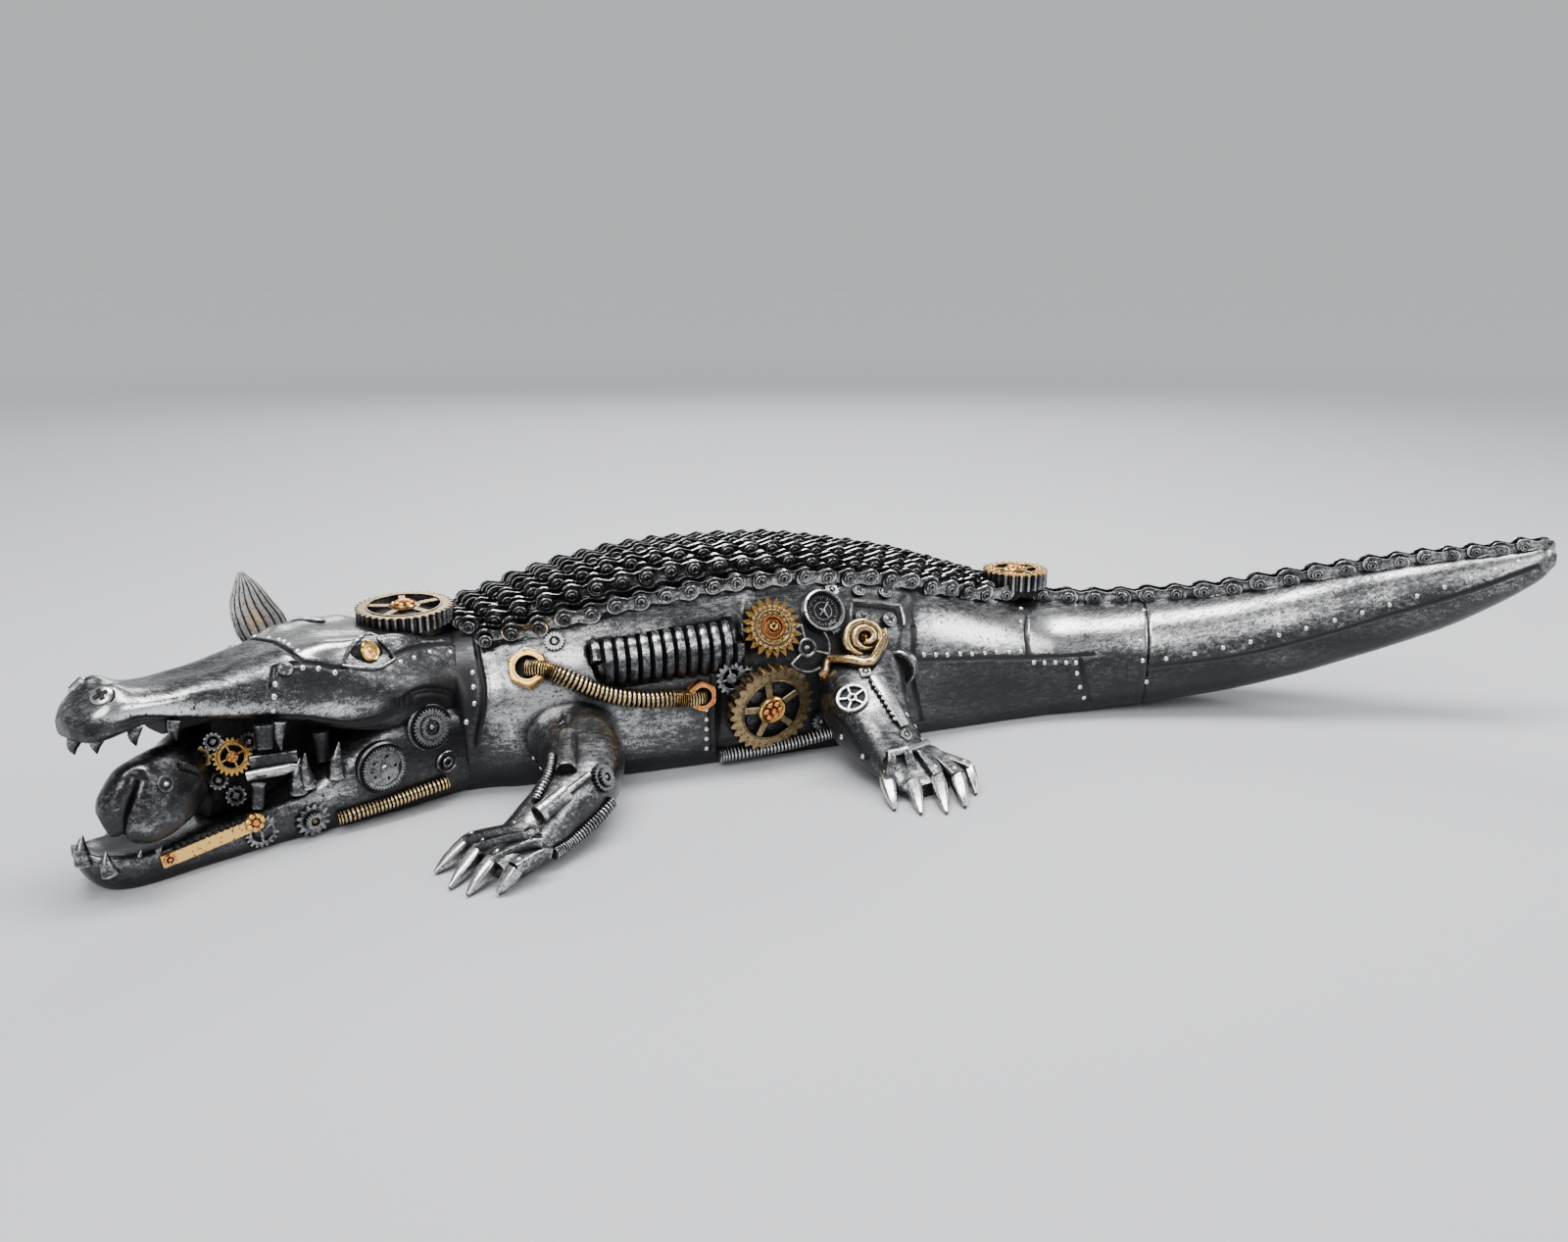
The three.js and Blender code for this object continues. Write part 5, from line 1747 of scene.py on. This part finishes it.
# picture points of root and tip, the distance from the head's middle, and the radius
UPPER_TEETH = (((77, 752), (76, 770), 3, 2.3), ((101, 748), (99, 769), 9, 2.4),
               ((138, 741), (139, 761), 11, 2.2), ((178, 735), (180, 755), 13, 2.1),
               ((285, 736), (287, 765), 21, 2.6))
LOWER_TEETH = (((145, 882), (144, 868), 11.4, 1.8), ((163, 874), (165, 862), 13, 1.6),
               ((304, 808), (306, 773), 21, 3.2), ((343, 792), (346, 757), 25, 3.2),
               ((315, 802), (311, 768), 23, 2.6))
TIP_TEETH = (((86, 882), (84, 852), 2.8), ((113, 892), (108, 869), 2.6))
teeth = bmesh.new()
pairs = [(in_mouth(*root_px, near - 0.8), in_mouth(*tip_px, near), near, radius)
         for root_px, tip_px, near, radius in UPPER_TEETH + LOWER_TEETH]
for root_px, tip_px, radius in TIP_TEETH:
    root = spot(*root_px, jaw_ground)[0]
    near = (root - HEAD_FROM).dot(HEAD_NEAR)
    pairs.append((root, in_mouth(*tip_px, near - 0.5), near, radius))
for root, tip, near, radius in pairs:
    fang(root, tip, radius)
    if near > INSIDE:
        fang(to_far_half(root), to_far_half(tip), radius)
piece("teeth", teeth, silver, sharp=60)

# %% [markdown]
# An eye is an almond-shaped dark bed between two lids, with a gilded disc in it. The lids are thin rolls
# along the almond's two edges.

# %% Eyes and screws of the head
PUPIL = ((0, -1), (3.3, -1), (3.5, 1.7), (3.1, 2.2), (2.7, 1.9), (1.4, 2.1), (1.2, 1.85), (0.9, 1.85),
         (0.5, 2.15), (0, 2.2))
SCREWS = ((104, 710, 3.2, bright_silver), (291, 683, 2.5, dark_steel))
kit = {}
UPPER_LID = ((349, 679), (357, 662), (366, 652), (376, 648), (388, 653), (396, 662), (403, 672))
LOWER_LID = ((349, 679), (362, 681), (376, 682), (390, 680), (403, 672))
eye_at, eye_out = spot(376, 665, skull_ground)
corner_front, corner_back = spot(350, 678, skull_ground)[0], spot(402, 671, skull_ground)[0]
thin_ends = lambda share: 0.45 + 0.55 * math.sin(math.pi * share)
for twin, lid_finish in ((as_it_is, silver), (across_head, dark_steel)):
    find = finder(twin, skull_ground)
    forward = twin(corner_front, corner_back - corner_front)[1]
    at, out = twin(eye_at, eye_out)
    seat = standing(at - out * 0.5, out, forward)
    put(kit, soot, turned(((0, -1), (1, -1), (0.93, 0.1), (0.6, 0.75), (0, 1)), 28),
        seat @ Matrix.Diagonal((7.9, 4.9, 1.6, 1)))
    put(kit, gold, turned(PUPIL, 32), seat @ Matrix.Diagonal((1, 1.12, 1, 1)))
    for lid in (UPPER_LID, LOWER_LID):
        put(kit, lid_finish, hose(proud_line(lid, 0.15, find), thin_ends, 10, 40))
    for px, py, radius, screw_finish in SCREWS:
        cross_screw(kit, standing(*find(px, py)), radius, 0.9, screw_finish, soot)
done("eyes", kit)

# %% [markdown]
# The cheek shows the works of the jaw: two toothed discs in sunk beds, a socket, a gilded hose, a small
# cog drum, and a gilded saw bar along the lower jaw. The far cheek has the same parts.

# %% Cheek works
def both_cheeks(px, py, sink, *grounds):
    """a sunk place on the near cheek and its twin, both turned a little to the side"""
    at, out = spot(px, py, *(grounds or (skull_ground, jaw_ground)))
    out = (out + HEAD_NEAR).normalized()
    return [standing(at - out * sink, out) for at, out in ((at, out), across_head(at, out))]


kit = {}
for seat in both_cheeks(439, 742, 0.8):
    put(kit, dark_plate, turned(((0, -2), (8.6, -2), (8.6, 0.9), (8.0, 1.4), (7.5, 0.9), (0, 0.8)), 44), seat)
    put(kit, dark_steel, toothed_ring(32, 6.9, 6.1, 4.6, 0.6, 1.9), seat)
    put(kit, dark_steel, toothed_ring(26, 4.5, 3.9, 2.8, 0.6, 2.5), seat)
    put(kit, dark_plate, turned(((0, 0), (3.9, 0), (3.9, 1.6), (0, 1.7)), 28), seat)
    put(kit, dark_steel, ball_ring(8, 2.1, 0.42, 1.6), seat)
    put(kit, silver, knob(1.3, 1.3, 10, 1.5), seat)
for seat in both_cheeks(391, 783, 0.8):
    put(kit, dark_plate, turned(((0, -2), (9.3, -2), (9.3, 0.8), (8.8, 1.4), (8.2, 0.9), (0, 0.8)), 44), seat)
    put(kit, dark_steel, toothed_ring(44, 7.9, 7.2, 6.4, 0.6, 1.9), seat)
    put(kit, dark_steel, turned(((0, 0), (6.6, 0), (6.6, 1.5), (0, 1.6)), 40), seat)
    put(kit, soot, ball_ring(5, 4.2, 0.75, 1.4, 0.3), seat)
    put(kit, silver, knob(1.4, 1.2, 10, 1.5), seat)
for seat in both_cheeks(456, 777, 0.6):
    put(kit, dark_steel, rim(4.3, 1.1, 2.4, -1, 28), seat)
    put(kit, soot, disc(3.6, -1, 0.4, 20), seat)
    put(kit, silver, rim(1.9, 0.7, 1.6, 0, 16), seat)
for seat in both_cheeks(319, 836, 0.6, jaw_ground):
    put(kit, dark_steel, toothed_ring(14, 5.9, 4.7, 3.4, -1, 1.4), seat)
    put(kit, dark_plate, disc(4.6, -1, 0.6), seat)
    put(kit, dark_steel, toothed_ring(20, 3.4, 2.8, 1.6, 0, 3.2), seat)
    put(kit, soot, disc(2, 0, 2.4, 16), seat)
    put(kit, old_gold, knob(1.0, 0.8, 8, 2.3), seat)
for seat in both_cheeks(267, 848, 0.5, jaw_ground):
    put(kit, dark_steel, toothed_ring(18, 5.6, 4.6, 3.6, -0.5, 1.1), seat)
    put(kit, dark_steel, spokes(3, 0.2, 4.0, 1.1, 0, 1.0, 0.5), seat)
    put(kit, soot, disc(4, -1, 0.2), seat)
print("cheek parts by finish:", {finish: len(shape.faces) for finish, shape in kit.items()})

# %% [markdown]
# A gilded hose runs along each cheek, and a saw bar with a row of teeth along its upper edge ends in a
# square block in front and in a ring of beads behind.

# %% Hose and saw bar of the cheek
CHEEK_HOSE = ((343, 833), (372, 824), (400, 815), (428, 805), (455, 796))
SAW_TEETH = 12
near_and_far = (finder(as_it_is, jaw_ground), finder(across_head, jaw_ground))
for find in near_and_far:
    put(kit, brass, ribbed(proud_line(CHEEK_HOSE, 1.5, find), 2.5, 30, 14, 0.45))
for find in near_and_far:
    (front, front_out), (back, back_out) = find(180, 873), find(256, 842)
    out, forward = (front_out + back_out).normalized(), back - front
    seat = standing((front + back) / 2, out, forward)
    put(kit, gold, block((forward.length + 2, 4.6, 2.4), 0.3), seat)
    upward = 1 if (seat.to_3x3() @ Vector((0, 1, 0))).z > 0 else -1
    for i in range(SAW_TEETH):
        place = Matrix.Translation(((i - 5.5) * forward.length / SAW_TEETH, upward * 2.7, 0.1))
        put(kit, soot, block((1.5, 1.5, 2.2), 0.3, place @ Matrix.Rotation(math.pi / 4, 4, "Z")), seat)
    end = standing(find(172, 876)[0], out, forward)
    put(kit, gold, block((4.6, 4.6, 2.6), 0.4), end)
    put(kit, copper, rim(1.7, 0.6, 0.8, 1.2, 16), end)
    put(kit, copper, knob(0.8, 0.7, 8, 1.3), end)
    end = standing(find(259, 838)[0], out, forward)
    put(kit, gold, ball_ring(7, 2.3, 1.1, 1.4), end)
    put(kit, copper, knob(1.4, 1.4, 10, 1.5), end)
    put(kit, gold, turned(((0, -1), (3.1, -1), (3.1, 1.4), (0, 1.6)), 20), end)
done("cheek_works", kit)

# %% [markdown]
# Behind the fish a dark wall of small works fills the throat. It carries two gilded wheels, and a blade
# and a bar that reach back between the teeth.

# %% Works in the throat
kit = {}
# along the head, foot and top of the wall
WALL = ((24, 15, 41), (34, 14.5, 43), (46, 14, 46), (58, 13.5, 49), (66, 13.5, 51))
# picture point, radius, number of teeth, distance from the head's middle, finish of wheel and of its beads
THROAT_WHEELS = ((236, 772, 6.4, 22, 9.5, gold, copper), (202, 774, 4.0, 10, 9.0, old_gold, old_gold),
                 (222, 796, 3.2, 12, 8.5, dark_steel, dark_steel),
                 (240, 812, 3.4, 12, 8.8, dark_steel, dark_steel),
                 (216, 757, 3.0, 12, 8.5, dark_steel, dark_steel),
                 (252, 757, 3.2, 14, 8.5, dark_steel, dark_steel))
# picture point and distance from the middle of the two ends of the blade and of the bar
BLADE, BAR = ((252, 792, 12), (308, 781, 22)), ((256, 777, 11), (304, 770, 20))
# picture points of top and foot, distance from the middle, radius and finish
STUMPS = (((269, 738), (270, 762), 18, 3.4, dark_steel), ((264, 800), (263, 824), 19, 2.1, dark_steel),
          ((326, 745), (329, 775), 17, 3.0, dark_plate))
OUTWARD = (HEAD_NEAR + UP * 0.35 + HEAD_ALONG * 0.1).normalized()
wall_rows = [(*in_head(along, 0, (low + high) / 2), 7.5, (high - low) / 2 + 1.5) for along, low, high in WALL]
put(kit, soot, limb(wall_rows, 5, 40, 40))
put(kit, soot, limb([(*in_head(along, 0, 49), 8, 4) for along in (60, 70, 79)], 4, 32, 12))
for px, py, radius, count, near, metal, beads in THROAT_WHEELS:
    for twin in (as_it_is, across_head):
        seat = standing(*twin(in_mouth(px, py, near), OUTWARD))
        put(kit, metal, toothed_ring(count, radius, radius * 0.84, radius * 0.6, -0.8, 0.9), seat)
        put(kit, metal, rim(radius * 0.76, radius * 0.1, 0.5, 0.8, 32), seat)
        put(kit, metal, spokes(4, 0, radius * 0.66, radius * 0.13, 0, 0.9, 0.4), seat)
        put(kit, beads, ball_ring(5, radius * 0.2, radius * 0.12, 0.9), seat)
        put(kit, metal, turned(((0, -3), (radius * 0.3, -3), (radius * 0.3, 0.9), (0, 1.1)), 16), seat)
for twin in (as_it_is, across_head):
    hilt, point, bar_from, bar_to = [twin(in_mouth(*end), UP)[0] for end in BLADE + BAR]
    blade = [(*hilt, 1.3, 2.0), (*hilt.lerp(point, 0.7), 1.3, 1.9), (*point, 0.3, 0.4)]
    put(kit, bright_silver, limb(blade, 2, 16, 24))
    put(kit, dark_steel, limb([(*bar_from, 1.6, 2.4), (*bar_to, 1.6, 2.2)], 5, 20, 6))
    for top, foot, near, thick, metal in STUMPS:
        high, low = [twin(in_mouth(*pixel, near), UP)[0] for pixel in (top, foot)]
        put(kit, metal, limb([(*high, thick, thick), (*low, thick * 0.85, thick * 0.85)], 3, 20, 8))
done("throat_works", kit)

# %% [markdown]
# The one eye of the fish that shows is a ring round a dark bed with a bright bead in it.

# %% Eye of the fish
kit = {}
seat = standing(*spot(169, 800, fish_ground))
put(kit, dark_plate, rim(2.7, 0.8, 0.8, -0.4, 24), seat)
put(kit, soot, turned(((0, -0.5), (2, -0.5), (2, 0.2), (0, 0.3)), 20), seat)
put(kit, bright_silver, knob(0.9, 0.8, 12, 0.1), seat)
done("fish_eye", kit, node="fish")

# %% [markdown]
# The legs are half machine. A front one has a piston, a rod, a drum at the elbow and two hoses. All are
# set by rays on the near leg and repeated across the middle of the body.

# %% Works on the front legs
kit = {}


def rod(find, finish, start, stop, radius, rise):
    """a straight bar; gives the places of its two ends"""
    line = proud_line((start, stop), rise, find)
    put(kit, finish, hose(line, radius, 16, 6))
    axis = (line[1] - line[0]).normalized()
    return [standing(at, axis, UP) for at in line]


def front_works(find):
    """piston, rod, drum and hoses of a front leg; find turns a picture point into a place on it"""
    upper = rod(find, dark_steel, (581, 752), (578, 787), 3.3, 0.7)
    put(kit, silver, rim(3.6, 1.2, 1.4, -0.7, 20), upper[1])
    put(kit, soot, knob(2.2, 0.5, 14), upper[1])
    rod(find, silver, (599, 793), (575, 813), 1.2, 1.6)
    piston = rod(find, silver, (575, 812), (551, 832), 3.2, 1.2)
    put(kit, silver, rim(3.4, 0.9, 1.6, -0.8, 20), piston[1])
    put(kit, soot, knob(2.4, 0.4, 14), piston[1])
    put(kit, silver, rim(3.3, 1.8, 1.0, -0.5, 20), piston[0])
    at, out = find(615, 794)
    seat = standing(at - out * 0.5, out)
    put(kit, dark_steel, toothed_ring(22, 4.9, 4.3, 3.4, -1, 1.6), seat)
    put(kit, dark_steel, toothed_ring(16, 3.2, 2.7, 1.5, 0, 2.8), seat)
    put(kit, dark_plate, disc(4.2, -1, 0.8), seat)
    put(kit, silver, knob(1.1, 1.0, 10, 1.8), seat)
    inner = proud_line(((566, 773), (563, 787), (556, 802), (547, 819)), 1.0, find)
    put(kit, silver, ribbed(inner, 1.6, 17, 12, 0.3))
    outer = proud_line(((622, 817), (608, 833), (592, 848), (577, 860), (563, 870)), 0.9, find)
    put(kit, silver, ribbed(outer, 2.2, 26, 14, 0.32))
    at, out = find(572, 738)
    put(kit, silver, hex_nut(1.8, 0.7, 1.1), standing(at, out))


for twin in (as_it_is, over):
    front_works(finder(twin, leg_ground))
print("front leg parts by finish:", {finish: len(shape.faces) for finish, shape in kit.items()})

# %% [markdown]
# A hind leg has a spoked wheel, a square nut and a lever with a row of square teeth along its front edge.

# %% Works on the hind legs
LEVER_TEETH = 8


def hind_works(find):
    """wheel, nut, lever and band of a hind leg"""
    at, out = find(870, 713)
    seat = standing(at - out * 0.2, out)
    put(kit, silver, rim(6.4, 1.5, 1.5, 0, 40), seat)
    put(kit, silver, spokes(5, 0.6, 5.2, 0.9, 0.2, 1.3, 0.3), seat)
    put(kit, silver, rim(1.9, 1.0, 1.6, 0, 20), seat)
    put(kit, soot, disc(5.2, -1, 0.4, 32), seat)
    at, out = find(883, 687)
    seat = standing(at, out, Vector((1, 0, -0.35)))
    put(kit, bright_silver, block((4.8, 4.8, 2.6), 0.5), seat)
    put(kit, soot, disc(1.5, 0, 1.4, 16), seat)
    put(kit, silver, knob(0.8, 0.6, 10, 1.3), seat)
    (a, a_out), (b, b_out) = find(891, 692), find(922, 742)
    out = (a_out + b_out).normalized()
    middle, forward = (a + b) / 2, b - a
    lever = [(*(a + a_out * 0.9), 2.3, 1.0), (*(middle + out * 1.6), 2.7, 1.0),
             (*(b + b_out * 0.9), 2.0, 1.0)]
    put(kit, bright_silver, limb(lever, 5, 20, 20))
    step = standing(middle, out, forward).to_3x3() @ Vector((0, 1, 0))
    step = -step if step.x > 0 else step  # towards the front edge
    for i in range(LEVER_TEETH):
        share = (i + 1.5) / (LEVER_TEETH + 2)
        centre = a.lerp(b, share) + out * (0.9 + 0.7 * math.sin(math.pi * share))
        tooth = standing(centre + step * 2.7, out, forward + step * forward.length)
        put(kit, silver, block((1.5, 1.5, 1.4), 0.2), tooth)
    at, out = find(924, 750)
    put(kit, silver, block((4.6, 4.2, 2.0), 0.5), standing(at, out, Vector((0.6, 0, -1))))
    put(kit, soot, rim(1.4, 0.5, 0.4, 0.9, 14), standing(at, out))
    band = proud_line(((906, 770), (918, 768), (930, 765), (943, 760)), 1.7, find)
    put(kit, bright_silver, hose(band, 1.4, 10, 24))


for twin in (as_it_is, over):
    hind_works(finder(twin, hind_ground))
done("leg_works", kit)
